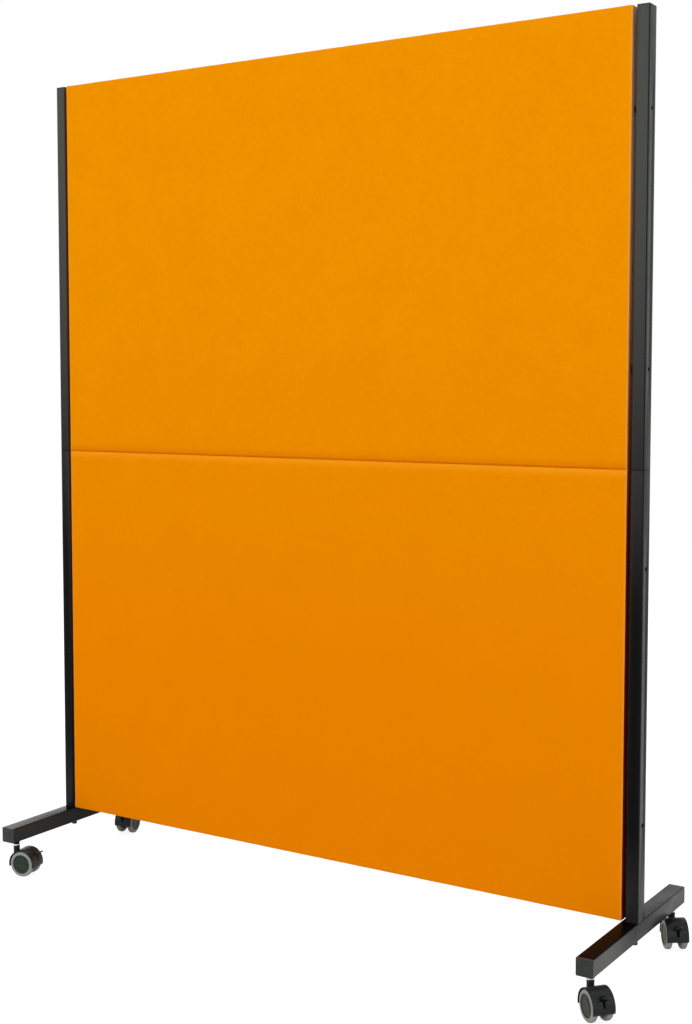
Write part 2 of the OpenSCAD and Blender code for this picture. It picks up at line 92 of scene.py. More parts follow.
class Slot(Enum):
    """The record's material slots."""

    FABRIC = "orange_fabric"
    POWDER_COAT = "black_powder_coat"
    CAP = "black_cap_plastic"
    HOUSING = "castor_plastic"
    HUB = "hub_plastic"
    TREAD = "grey_tread"
    ZINC = "zinc_steel"
    STEEL = "bare_steel"
    BLACK_STEEL = "black_steel"
    RUBBER = "black_rubber"
    TIMBER = "timber"
    BOARD = "honeycomb_board"


class Axis(Enum):
    """The direction that a round bar is laid along, with the turn from +Z that lays it there."""

    X = (0.0, math.pi / 2, 0.0)
    Y = (-math.pi / 2, 0.0, 0.0)
    Z = (0.0, 0.0, 0.0)


# ------------------------------------------------------------------ shader maths


@dataclass(frozen=True)
class Rise:
    """How an effect sets in: not at all at low, and with its whole share at high."""

    low: float
    high: float
    share: float = 1.0


@dataclass(frozen=True)
class Grain:
    """Soft noise: the width of its blots, its finer layers, their strength, and its stretch."""

    size: float
    detail: float = 2.0
    roughness: float = 0.5
    stretch: Sequence[float] = (1.0, 1.0, 1.0)


class Signal:
    """A number that varies over a surface, on which Python's operators add Math nodes."""

    def __init__(self, tree: "Tree", socket: bpy.types.NodeSocket) -> None:
        """Wraps a socket.

        Args:
            tree: the nodes that the socket belongs to.
            socket: the output that carries the number.
        """
        self.tree = tree
        self.socket = socket

    def _maths(self, operation: str, *operands: "Number") -> "Signal":
        """Adds a Math node, and returns what it gives.

        Args:
            operation: the Math node's operation.
            operands: its inputs, in order.

        Returns:
            The node's result.
        """
        settings = {"operation": operation}
        node = self.tree.node("ShaderNodeMath", settings, dict(enumerate(operands)))
        return Signal(self.tree, node.outputs[0])

    def __add__(self, other: "Number") -> "Signal":
        """Adds."""
        return self._maths("ADD", self, other)

    def __radd__(self, other: float) -> "Signal":
        """Adds to a plain number."""
        return self._maths("ADD", other, self)

    def __sub__(self, other: "Number") -> "Signal":
        """Takes away."""
        return self._maths("SUBTRACT", self, other)

    def __rsub__(self, other: float) -> "Signal":
        """Takes away from a plain number."""
        return self._maths("SUBTRACT", other, self)

    def __mul__(self, other: "Number") -> "Signal":
        """Multiplies."""
        return self._maths("MULTIPLY", self, other)

    def __rmul__(self, other: float) -> "Signal":
        """Multiplies a plain number."""
        return self._maths("MULTIPLY", other, self)

    def __abs__(self) -> "Signal":
        """The size without the sign."""
        return self._maths("ABSOLUTE", self)

    def sine(self) -> "Signal":
        """The sine of an angle in radians."""
        return self._maths("SINE", self)

    def highest(self, other: "Number") -> "Signal":
        """The higher of two numbers."""
        return self._maths("MAXIMUM", self, other)

    def rise(self, onset: Rise) -> "Signal":
        """Goes smoothly from 0 up to the share of an effect.

        Args:
            onset: where the effect sets in, and its share.

        Returns:
            A number from 0 to the share.
        """
        settings = {"interpolation_type": "SMOOTHSTEP"}
        sockets = {"Value": self, "From Min": onset.low, "From Max": onset.high}
        node = self.tree.node("ShaderNodeMapRange", settings, sockets)
        risen = Signal(self.tree, node.outputs["Result"])
        return risen if onset.share == 1.0 else risen * onset.share

    def fall(self, onset: Rise) -> "Signal":
        """Goes smoothly from 1 down by the share of an effect."""
        return 1.0 - self.rise(onset)


Number = Union[Signal, float]


class Tree:
    """The nodes of one material or world, and the ways to add to them."""

    def __init__(self, owner: Union[bpy.types.Material, bpy.types.World]) -> None:
        """Empties a material or a world, and takes its nodes.

        Args:
            owner: the material or the world.
        """
        self.owner = owner
        self.owner.use_nodes = True
        self.links = owner.node_tree.links
        self.nodes = owner.node_tree.nodes
        self.nodes.clear()
        self._place: bpy.types.NodeSocket | None = None

    @classmethod
    def of_material(cls, name: str) -> "Tree":
        """The nodes of a new material."""
        return cls(bpy.data.materials.new(name))

    def node(
        self, kind: str, settings: Mapping[str, Any], sockets: Mapping[Any, Any]
    ) -> bpy.types.Node:
        """Adds any node.

        Args:
            kind: the node's type.
            settings: its properties, set first.
            sockets: a value, a socket or a Signal for each input, by name or number.

        Returns:
            The new node.
        """
        made = self.nodes.new(kind)
        for key, value in settings.items():
            setattr(made, key, value)
        for key, value in sockets.items():
            if isinstance(value, Signal):
                value = value.socket
            if isinstance(value, bpy.types.NodeSocket):
                self.links.new(value, made.inputs[key])
            else:
                made.inputs[key].default_value = value
        return made

    @property
    def place(self) -> bpy.types.NodeSocket:
        """The place on the piece, in metres in the frame."""
        if self._place is None:
            self._place = self.node("ShaderNodeTexCoord", {}, {}).outputs["Object"]
        return self._place

    def parts(self, vector: bpy.types.NodeSocket) -> tuple[Signal, Signal, Signal]:
        """The three numbers of a vector.

        Args:
            vector: the vector to take apart.

        Returns:
            Its X, Y and Z.
        """
        split = self.node("ShaderNodeSeparateXYZ", {}, {"Vector": vector})
        return tuple(Signal(self, split.outputs[i]) for i in range(3))

    def facing(self) -> tuple[Signal, Signal, Signal]:
        """How far the surface faces +X, +Y and +Z, each from -1 to 1."""
        return self.parts(self.node("ShaderNodeNewGeometry", {}, {}).outputs["Normal"])

    def seen(self) -> Signal:
        """1 for what the camera looks at, straight or in a reflection, and 0 for plain light.

        Returns:
            The number for each ray.
        """
        rays = self.node("ShaderNodeLightPath", {}, {})
        kinds = ("Is Camera Ray", "Is Glossy Ray", "Is Transmission Ray")
        camera, glossy, through = (Signal(self, rays.outputs[kind]) for kind in kinds)
        return camera.highest(glossy).highest(through)

    def grain(self, kind: Grain) -> Signal:
        """Soft noise from 0 to 1, about 0.5 in the middle.

        Args:
            kind: how wide, rough and long its blots are.

        Returns:
            The noise at each place.
        """
        scale = tuple(1.0 / s for s in kind.stretch)
        spread = self.node("ShaderNodeMapping", {}, {"Vector": self.place, "Scale": scale})
        sockets = {"Vector": spread.outputs[0], "Scale": 1.0 / kind.size}
        finer = {"Detail": kind.detail, "Roughness": kind.roughness}
        made = self.node("ShaderNodeTexNoise", {}, {**sockets, **finer})
        return Signal(self, made.outputs[0])

    def blend(self, share: Number, first: Any, second: Any) -> bpy.types.NodeSocket:
        """Mixes two colours.

        Args:
            share: 0 for all of the first, 1 for all of the second.
            first: a colour or a colour socket.
            second: a colour or a colour socket.

        Returns:
            The mixed colour.
        """
        inputs = {0: share}
        for key, colour in ((6, first), (7, second)):
            inputs[key] = (*colour, 1.0) if isinstance(colour, tuple) else colour
        return self.node("ShaderNodeMix", {"data_type": "RGBA"}, inputs).outputs[2]

    def bump(self, height: Signal, depth: float) -> bpy.types.NodeSocket:
        """A normal for a surface with fine relief.

        Args:
            height: the relief, from 0 to 1.
            depth: how deep it is, in metres.

        Returns:
            The normal.
        """
        sockets = {"Height": height, "Distance": depth, "Strength": 1.0}
        return self.node("ShaderNodeBump", {}, sockets).outputs["Normal"]

    def surface(self, sockets: Mapping[str, Any]) -> bpy.types.Material:
        """Ends the material in one Principled shader.

        Args:
            sockets: the shader's values and links.

        Returns:
            The finished material.
        """
        shader = self.node("ShaderNodeBsdfPrincipled", {}, sockets)
        self.node("ShaderNodeOutputMaterial", {}, {"Surface": shader.outputs[0]})
        return self.owner


# ------------------------------------------------------------------ finishes


@dataclass(frozen=True)
class WovenFabric:
    """Tightly woven upholstery of two close shades of orange yarn, with painted highlights along its side folds
    and below the seam, and painted shade above the seam, towards the bottom and on its narrow faces.
    """

    seam: float
    name: str = "orange_woven_fabric"
    light: Colour = (0.918, 0.316, 0.000)
    deep: Colour = (0.788, 0.253, 0.000)
    # Painted shade: the cloth darker and redder towards the bottom.
    low: Colour = (0.880, 0.220, 0.000)
    # Painted highlight along the side folds.
    fold_highlight: Colour = (0.780, 0.345, 0.070)
    # Painted highlight below the seam.
    seam_highlight: Colour = (0.950, 0.338, 0.010)
    # Painted shade above the seam and along its shadow line.
    seam_shade: Colour = (0.600, 0.105, 0.000)
    # Painted shade on the narrow faces, lighter higher up, and a painted grey in the middle of the gap beside the
    # posts.
    shaded_low: Colour = (0.220, 0.016, 0.003)
    shaded_high: Colour = (0.660, 0.290, 0.110)
    shaded_deep: Colour = (0.660, 0.600, 0.540)
    yarn: float = 1.5 * MM
    wander: Grain = Grain(9 * MM, 1.0)
    wander_share: float = 0.9
    fleck: Grain = Grain(3.2 * MM, 3.0, 0.7)
    upright: Grain = Grain(2.6 * MM, 2.0, 0.6, (1.0, 1.0, 8.0))
    level: Grain = Grain(2.6 * MM, 2.0, 0.6, (8.0, 1.0, 1.0))
    mottle: Grain = Grain(110 * MM, 6.0, 0.85)
    upright_share: float = 0.36
    level_share: float = 0.28
    fleck_share: float = 0.26
    weave_share: float = 0.10
    contrast: Rise = Rise(0.30, 0.70, 0.60)
    mottle_share: float = 1.1
    deep_share: float = 0.12
    low_shade_height: Rise = Rise(0.4, 1.8)
    low_shade_share: float = 0.62
    narrow_face: Rise = Rise(0.80, 0.97)
    over_shade: Rise = Rise(0.9, 1.7)
    off_middle: Rise = Rise(12 * MM, 21 * MM)
    over_deep: Rise = Rise(1.1, 1.9)
    weave_relief: float = 0.55
    bulge_relief: float = 0.25
    fleck_relief: float = 0.20
    relief: float = 0.20 * MM
    roughness: float = 0.82
    fleck_roughness: float = 0.12
    over_seam: Rise = Rise(0.0, 0.1 * MM)
    off_seam: Rise = Rise(0.0, 24 * MM)
    seam_shade_share: float = 0.30
    seam_highlight_share: float = 0.75
    # Painted shadow line along the seam.
    shadow_line: float = 1.2 * MM
    off_shadow_line: Rise = Rise(1.5 * MM, 4.5 * MM)
    shadow_line_share: float = 0.18
    shadow_line_fleck: float = 0.4
    side_fold: Rise = Rise(811 * MM, 819 * MM)
    fold_highlight_share: float = 0.35
    fold_highlight_fleck: float = 0.6

    def material(self) -> bpy.types.Material:
        """Makes the material.

        Returns:
            The fabric, with its weave, its mixed yarns, and its painted highlights and shade.
        """
        tree = Tree.of_material(self.name)
        x, y, z = tree.parts(tree.place)
        side, _, top = tree.facing()
        fleck = tree.grain(self.fleck)
        weave, bulge = self._weave(tree, x + y * abs(side), z + y * abs(top))
        upright, level = tree.grain(self.upright), tree.grain(self.level)
        mixed = upright * self.upright_share + level * self.level_share
        mixed = mixed + fleck * self.fleck_share + weave * self.weave_share
        mottle = (tree.grain(self.mottle) - 0.5) * self.mottle_share
        shade = mixed.rise(self.contrast) + mottle + self.deep_share
        yarns = tree.blend(shade, self.light, self.deep)
        # Painted shade: darker and redder towards the bottom.
        with_painted_light = tree.blend(z.fall(self.low_shade_height) * self.low_shade_share, yarns, self.low)
        painted_cloth = self._paint_light_at_folds(tree, x, z, fleck, with_painted_light)
        # Painted shade on the narrow faces, lighter higher up, with a painted grey in the middle of the gap beside
        # the posts.
        shaded = tree.blend(z.rise(self.over_shade), self.shaded_low, self.shaded_high)
        deep = abs(y).fall(self.off_middle) * z.rise(self.over_deep)
        shaded = tree.blend(deep, shaded, self.shaded_deep)
        height = weave * self.weave_relief + bulge * self.bulge_relief
        height = height + fleck * self.fleck_relief
        return tree.surface({
            "Base Color": tree.blend(abs(side).rise(self.narrow_face), painted_cloth, shaded),
            "Roughness": self.roughness + self.fleck_roughness * fleck,
            "Specular IOR Level": 0.0,
            "Normal": tree.bump(height, self.relief),
        })

    def _weave(self, tree: Tree, across: Signal, upward: Signal) -> tuple[Signal, Signal]:
        """Crosses the yarns, which wander a little.

        Args:
            tree: the material's nodes.
            across: the place along the level yarns.
            upward: the place along the upright yarns.

        Returns:
            The chequer of the weave, and the bulge of the yarns, each from 0 to 1.
        """
        turn = math.pi / self.yarn
        wobble = (tree.grain(self.wander) - 0.5) * (self.wander_share * self.yarn)
        warp = ((across + wobble) * turn).sine()
        weft = ((upward + wobble) * turn).sine()
        return warp * weft * 0.5 + 0.5, abs(warp).highest(abs(weft))

    def _paint_light_at_folds(
        self, tree: Tree, x: Signal, z: Signal, fleck: Signal, cloth: bpy.types.NodeSocket
    ) -> bpy.types.NodeSocket:
        """Adds a painted highlight along the side folds, a painted highlight below the seam, painted shade above
        it and a painted shadow line along it.

        Args:
            tree: the material's nodes.
            x: the place along the panels.
            z: the height.
            fleck: the fine mottle of the yarn.
            cloth: the colour of the open cloth.

        Returns:
            The colour of the cloth with its painted highlights and shade.
        """
        over = z - self.seam
        upper = over.rise(self.over_seam)
        near = abs(over).fall(self.off_seam)
        # Painted shade above the seam and a painted highlight below it.
        cloth = tree.blend(near * upper * self.seam_shade_share, cloth, self.seam_shade)
        cloth = tree.blend(near * (1.0 - upper) * self.seam_highlight_share, cloth, self.seam_highlight)
        # Painted shadow line along the seam.
        shadow_line = abs(over - self.shadow_line).fall(self.off_shadow_line)
        shadow_line = shadow_line * (self.shadow_line_share + self.shadow_line_fleck * fleck)
        cloth = tree.blend(shadow_line, cloth, self.seam_shade)
        # Painted highlight along the side folds.
        fold_highlight_mask = abs(x).rise(self.side_fold) * (self.fold_highlight_share + self.fold_highlight_fleck * fleck)
        return tree.blend(fold_highlight_mask, cloth, self.fold_highlight)


@dataclass(frozen=True)
class PowderCoat:
    """Satin black powder coat with its fine orange-peel skin and specks of dust, and painted light: painted grey
    and pale reflections on the posts and feet, and a painted orange reflection of the panel on the posts.
    """

    joint: float
    name: str = "black_powder_coat"
    colour: Colour = (0.0015, 0.0016, 0.0018)
    # Painted grey reflection.
    grey: Colour = (0.068, 0.072, 0.068)
    dust: Colour = (0.060, 0.060, 0.054)
    # Painted orange reflection of the panel.
    panel_reflection: Colour = (0.090, 0.036, 0.008)
    # Painted pale reflection on the feet.
    pale: Colour = (0.150, 0.155, 0.150)
    peel: Grain = Grain(1.6 * MM)
    speck: Grain = Grain(0.5 * MM, 1.0)
    wiping: Grain = Grain(55 * MM, 4.0, 0.65)
    dusting: Grain = Grain(18 * MM, 5.0, 0.7)
    peel_relief: float = 0.8
    speck_relief: float = 0.2
    relief: float = 0.035 * MM
    specular: float = 0.05
    roughness: float = 0.26
    wiped: Rise = Rise(0.42, 0.72, 0.10)
    dusty: Rise = Rise(0.55, 0.80, 0.05)
    # Shares of painted grey light on the posts, their side faces and the feet.
    post_middle: Rise = Rise(0.80, 1.50, 0.70)
    post_top: Rise = Rise(1.3, 2.1, 0.26)
    flank_low: Rise = Rise(0.13, 0.20, 0.35)
    flank_fall: float = 0.75
    # Painted shade: the grey is kept off the rounded corners, which stay dark.
    rounding: Rise = Rise(0.12, 0.40, 0.75)
    over_foot: Rise = Rise(0.13, 0.36)
    foot_all: float = 0.20
    foot_front: float = 0.30
    foot_right: Rise = Rise(0.0, 0.8, 0.50)
    foot_rear: Rise = Rise(-0.25, 0.05)
    faces: Rise = Rise(0.80, 0.95)
    # Painted reflections on the left foot's top and the right foot's outer side, at the front.
    top_reflection_right: Rise = Rise(-0.84, -0.40)
    top_reflection_rear: Rise = Rise(-0.26, -0.08)
    top_reflection_share: float = 0.85
    side_reflection_right: Rise = Rise(0.40, 0.80)
    side_reflection_rear: Rise = Rise(-0.20, -0.04)
    side_reflection_share: float = 0.95
    off_panel: Rise = Rise(827 * MM, 835 * MM)
    # Painted orange reflection of the panel on the posts.
    panel_reflection_up: Rise = Rise(0.2, 1.6)
    panel_reflection_all: float = 0.30
    panel_reflection_side: float = 0.50
    off_joint: Rise = Rise(0.7 * MM, 1.7 * MM)
    joint_share: float = 0.85

    def material(self) -> bpy.types.Material:
        """Makes the material.

        Returns:
            The coat.
        """
        tree = Tree.of_material(self.name)
        across, depth, height = tree.parts(tree.place)
        side, front, top = tree.facing()
        foot = height.fall(self.over_foot)
        # Painted grey light, kept off the rounded corners as painted shade.
        painted_grey_share = self._painted_grey(across, depth, height, abs(side), abs(top), foot)
        rounding = abs(side * front).fall(self.rounding)
        with_painted_light = tree.blend(painted_grey_share * rounding, self.colour, self.grey)
        # Painted pale reflections on the left foot's top and the right foot's outer side, at the front.
        top_reflection = abs(top).rise(self.faces) * across.fall(self.top_reflection_right)
        top_reflection = top_reflection * depth.fall(self.top_reflection_rear) * self.top_reflection_share
        outside = side.rise(self.faces) * across.rise(self.side_reflection_right)
        outside = outside * depth.fall(self.side_reflection_rear) * self.side_reflection_share
        with_painted_light = tree.blend((top_reflection + outside) * foot, with_painted_light, self.pale)
        # Painted orange reflection of the panel on the posts beside it.
        glow = abs(across).fall(self.off_panel) * (self.panel_reflection_all + self.panel_reflection_side * abs(side))
        with_painted_light = tree.blend(glow * height.rise(self.panel_reflection_up), with_painted_light, self.panel_reflection)
        gap = abs(height - self.joint).fall(self.off_joint)
        with_painted_light = tree.blend(gap * self.joint_share, with_painted_light, self.colour)
        skin = tree.grain(self.peel) * self.peel_relief
        skin = skin + tree.grain(self.speck) * self.speck_relief
        dusty = tree.grain(self.dusting).rise(self.dusty)
        return tree.surface({
            "Base Color": tree.blend(dusty, with_painted_light, self.dust),
            "Roughness": self.roughness + tree.grain(self.wiping).rise(self.wiped),
            "Specular IOR Level": self.specular,
            "Normal": tree.bump(skin, self.relief),
        })

    def _painted_grey(
        self, across: Signal, depth: Signal, height: Signal, side: Signal, top: Signal,
        foot: Signal,
    ) -> Signal:
        """The share of painted grey light: the posts towards their tops and on their side faces, the feet at the
        front.

        Args:
            across: the place along the panels.
            depth: the place towards the rear.
            height: the height.
            side: how far the surface faces either side.
            top: how far it faces up or down.
            foot: 1 on the feet, 0 on the posts.

        Returns:
            The share of painted grey light.
        """
        post = height.rise(self.post_middle) + height.rise(self.post_top)
        share = self.foot_front + across.rise(self.foot_right)
        near = self.foot_all + share * depth.fall(self.foot_rear)
        flank = (height.rise(self.flank_low) - self.flank_fall * post) * side
        return post + flank + foot * near * (1.0 - top)


@dataclass(frozen=True)
class MouldedPlastic:
    """Moulded plastic with the fine grain of its mould, and dust in its scuffs."""

    name: str
    colour: Colour
    scuff: Colour
    roughness: float = 0.38
    specular: float = 0.25
    edge_wear: float = 0.0
    relief: float = 0.03 * MM
    pits: Grain = Grain(0.7 * MM, 2.0, 0.6)
    flow: Grain = Grain(14 * MM, 3.0, 0.6)
    scratch: Grain = Grain(1.1 * MM, 3.0, 0.7, (1.0, 7.0, 2.0))
    flat: Rise = Rise(0.75, 0.96)
    flow_wear: Rise = Rise(0.45, 0.75, 0.35)
    scratch_wear: Rise = Rise(0.60, 0.78, 0.30)
    worn_roughness: float = 0.16

    def material(self) -> bpy.types.Material:
        """Makes the material.

        Returns:
            The plastic.
        """
        tree = Tree.of_material(self.name)
        side, front, top = (abs(part) for part in tree.facing())
        edge = side.highest(front).highest(top).fall(self.flat)
        worn = tree.grain(self.flow).rise(self.flow_wear)
        worn = worn + tree.grain(self.scratch).rise(self.scratch_wear) + edge * self.edge_wear
        return tree.surface({
            "Base Color": tree.blend(worn, self.colour, self.scuff),
            "Roughness": self.roughness + self.worn_roughness * worn,
            "Specular IOR Level": self.specular,
            "Normal": tree.bump(tree.grain(self.pits), self.relief),
        })


@dataclass(frozen=True)
class SoftTread:
    """The soft grey running ring of a wheel, with floor dust rolled into it, and painted shade on the castor at
    the left rear.
    """

    name: str = "grey_soft_tread"
    colour: Colour = (0.290, 0.305, 0.285)
    # Dirt, and painted shade on the castor at the left rear.
    dirt_and_shade_colour: Colour = (0.150, 0.155, 0.145)
    fine: Grain = Grain(0.8 * MM, 3.0, 0.7)
    patch: Grain = Grain(7 * MM, 4.0, 0.65)
    fine_dirt: Rise = Rise(0.62, 0.80, 0.25)
    patch_dirt: Rise = Rise(0.50, 0.78, 0.55)
    # Painted shade on the castor at the left rear.
    back_left_shade_right: Rise = Rise(-0.75, -0.55)
    back_left_shade_rear: Rise = Rise(0.0, 0.15)
    back_left_shade_share: float = 0.7
    roughness: float = 0.58
    patch_roughness: float = 0.20
    fine_relief: float = 0.7
    patch_relief: float = 0.3
    relief: float = 0.05 * MM

    def material(self) -> bpy.types.Material:
        """Makes the material.

        Returns:
            The tread, with painted shade on the castor at the left rear.
        """
        tree = Tree.of_material(self.name)
        fine, patch = tree.grain(self.fine), tree.grain(self.patch)
        across, depth, _ = tree.parts(tree.place)
        # Painted shade on the castor at the left rear.
        back_left_shade = across.fall(self.back_left_shade_right) * depth.rise(self.back_left_shade_rear)
        dirt_and_shade = patch.rise(self.patch_dirt) + fine.rise(self.fine_dirt)
        dirt_and_shade = dirt_and_shade + back_left_shade * self.back_left_shade_share
        height = fine * self.fine_relief + patch * self.patch_relief
        return tree.surface({
            "Base Color": tree.blend(dirt_and_shade, self.colour, self.dirt_and_shade_colour),
            "Roughness": self.roughness + self.patch_roughness * patch,
            "Normal": tree.bump(height, self.relief),
        })


@dataclass(frozen=True)
class BareMetal:
    """Plated or plain steel, slightly streaked along one direction."""

    name: str
    colour: Colour
    stain: Colour
    roughness: float
    streaks: Grain = Grain(0.6 * MM, 3.0, 0.65, (1.0, 1.0, 14.0))
    stains: Grain = Grain(6 * MM, 3.0, 0.6)
    stained: Rise = Rise(0.5, 0.8, 0.6)
    streak_roughness: float = 0.15
    stain_roughness: float = 0.12
    relief: float = 0.01 * MM

    def material(self) -> bpy.types.Material:
        """Makes the material.

        Returns:
            The metal.
        """
        tree = Tree.of_material(self.name)
        streaks = tree.grain(self.streaks)
        stains = tree.grain(self.stains).rise(self.stained)
        roughness = self.roughness + self.streak_roughness * streaks
        return tree.surface({
            "Base Color": tree.blend(stains, self.colour, self.stain),
            "Metallic": 1.0,
            "Roughness": roughness + self.stain_roughness * stains,
            "Normal": tree.bump(streaks, self.relief),
        })


@dataclass(frozen=True)
class SawnWood:
    """The planed softwood of the frames inside the panels."""

    name: str = "planed_softwood"
    early: Colour = (0.62, 0.42, 0.22)
    late: Colour = (0.38, 0.21, 0.09)
    rings: Grain = Grain(5 * MM, 4.0, 0.6, (6.0, 1.0, 6.0))
    late_ring: Rise = Rise(0.45, 0.62)
    roughness: float = 0.55
    ring_roughness: float = 0.2
    relief: float = 0.08 * MM

    def material(self) -> bpy.types.Material:
        """Makes the material.

        Returns:
            The wood.
        """
        tree = Tree.of_material(self.name)
        rings = tree.grain(self.rings)
        return tree.surface({
            "Base Color": tree.blend(rings.rise(self.late_ring), self.early, self.late),
            "Roughness": self.roughness + self.ring_roughness * rings,
            "Normal": tree.bump(rings, self.relief),
        })


@dataclass(frozen=True)
class PaperBoard:
    """The paper honeycomb board in the middle of the panels."""

    name: str = "honeycomb_board"
    light: Colour = (0.50, 0.38, 0.25)
    dark: Colour = (0.36, 0.26, 0.16)
    fibres: Grain = Grain(2 * MM, 4.0, 0.7, (3.0, 1.0, 1.0))
    dark_fibre: Rise = Rise(0.35, 0.65)
    roughness: float = 0.85
    fibre_roughness: float = 0.1
    relief: float = 0.05 * MM

    def material(self) -> bpy.types.Material:
        """Makes the material.

        Returns:
            The board.
        """
        tree = Tree.of_material(self.name)
        fibres = tree.grain(self.fibres)
        return tree.surface({
            "Base Color": tree.blend(fibres.rise(self.dark_fibre), self.light, self.dark),
            "Roughness": self.roughness + self.fibre_roughness * fibres,
            "Normal": tree.bump(fibres, self.relief),
        })


class Finishes:
    """Every finish of the object, made once, by the slot that it belongs to."""

    def __init__(self) -> None:
        """Makes the materials."""
        seam = (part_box("panel_cover_lower")[1].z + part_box("panel_cover_upper")[0].z) / 2
        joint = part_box("post_upper_left")[0].z
        cap = MouldedPlastic(
            "cap_plastic", (0.020, 0.024, 0.022), (0.055, 0.061, 0.057), edge_wear=0.9
        )
        housing = MouldedPlastic(
            "castor_plastic", (0.012, 0.014, 0.014), (0.036, 0.039, 0.039), specular=0.16
        )
        hub = MouldedPlastic(
            "hub_plastic", (0.028, 0.040, 0.032), (0.055, 0.068, 0.060), roughness=0.42,
            specular=0.10,
        )
        oxide = MouldedPlastic(
            "black_oxide", (0.018, 0.018, 0.020), (0.06, 0.05, 0.05), roughness=0.34
        )
        rubber = MouldedPlastic(
            "black_rubber", (0.008, 0.008, 0.008), (0.02, 0.02, 0.02), roughness=0.70
        )
        zinc = BareMetal("bright_zinc", (0.74, 0.75, 0.77), (0.50, 0.50, 0.50), roughness=0.20)
        steel = BareMetal("plain_steel", (0.50, 0.50, 0.51), (0.33, 0.31, 0.29), roughness=0.32)
        finishes = {
            Slot.FABRIC: WovenFabric(seam),
            Slot.POWDER_COAT: PowderCoat(joint),
            Slot.CAP: cap,
            Slot.HOUSING: housing,
            Slot.HUB: hub,
            Slot.TREAD: SoftTread(),
            Slot.ZINC: zinc,
            Slot.STEEL: steel,
            Slot.BLACK_STEEL: oxide,
            Slot.RUBBER: rubber,
            Slot.TIMBER: SawnWood(),
            Slot.BOARD: PaperBoard(),
        }
        self.by_slot = {slot: finish.material() for slot, finish in finishes.items()}

    def dress_nodes(self) -> None:
        """Gives every node of the frame the finish of its own slot."""
        slots = {row["node"]: row["material_slot"] for row in frame["record"]["subparts"]}
        for name, node in frame["nodes"].items():
            for place in node.material_slots:
                place.material = self.by_slot[Slot(slots[name])]


# ------------------------------------------------------------------ modelling


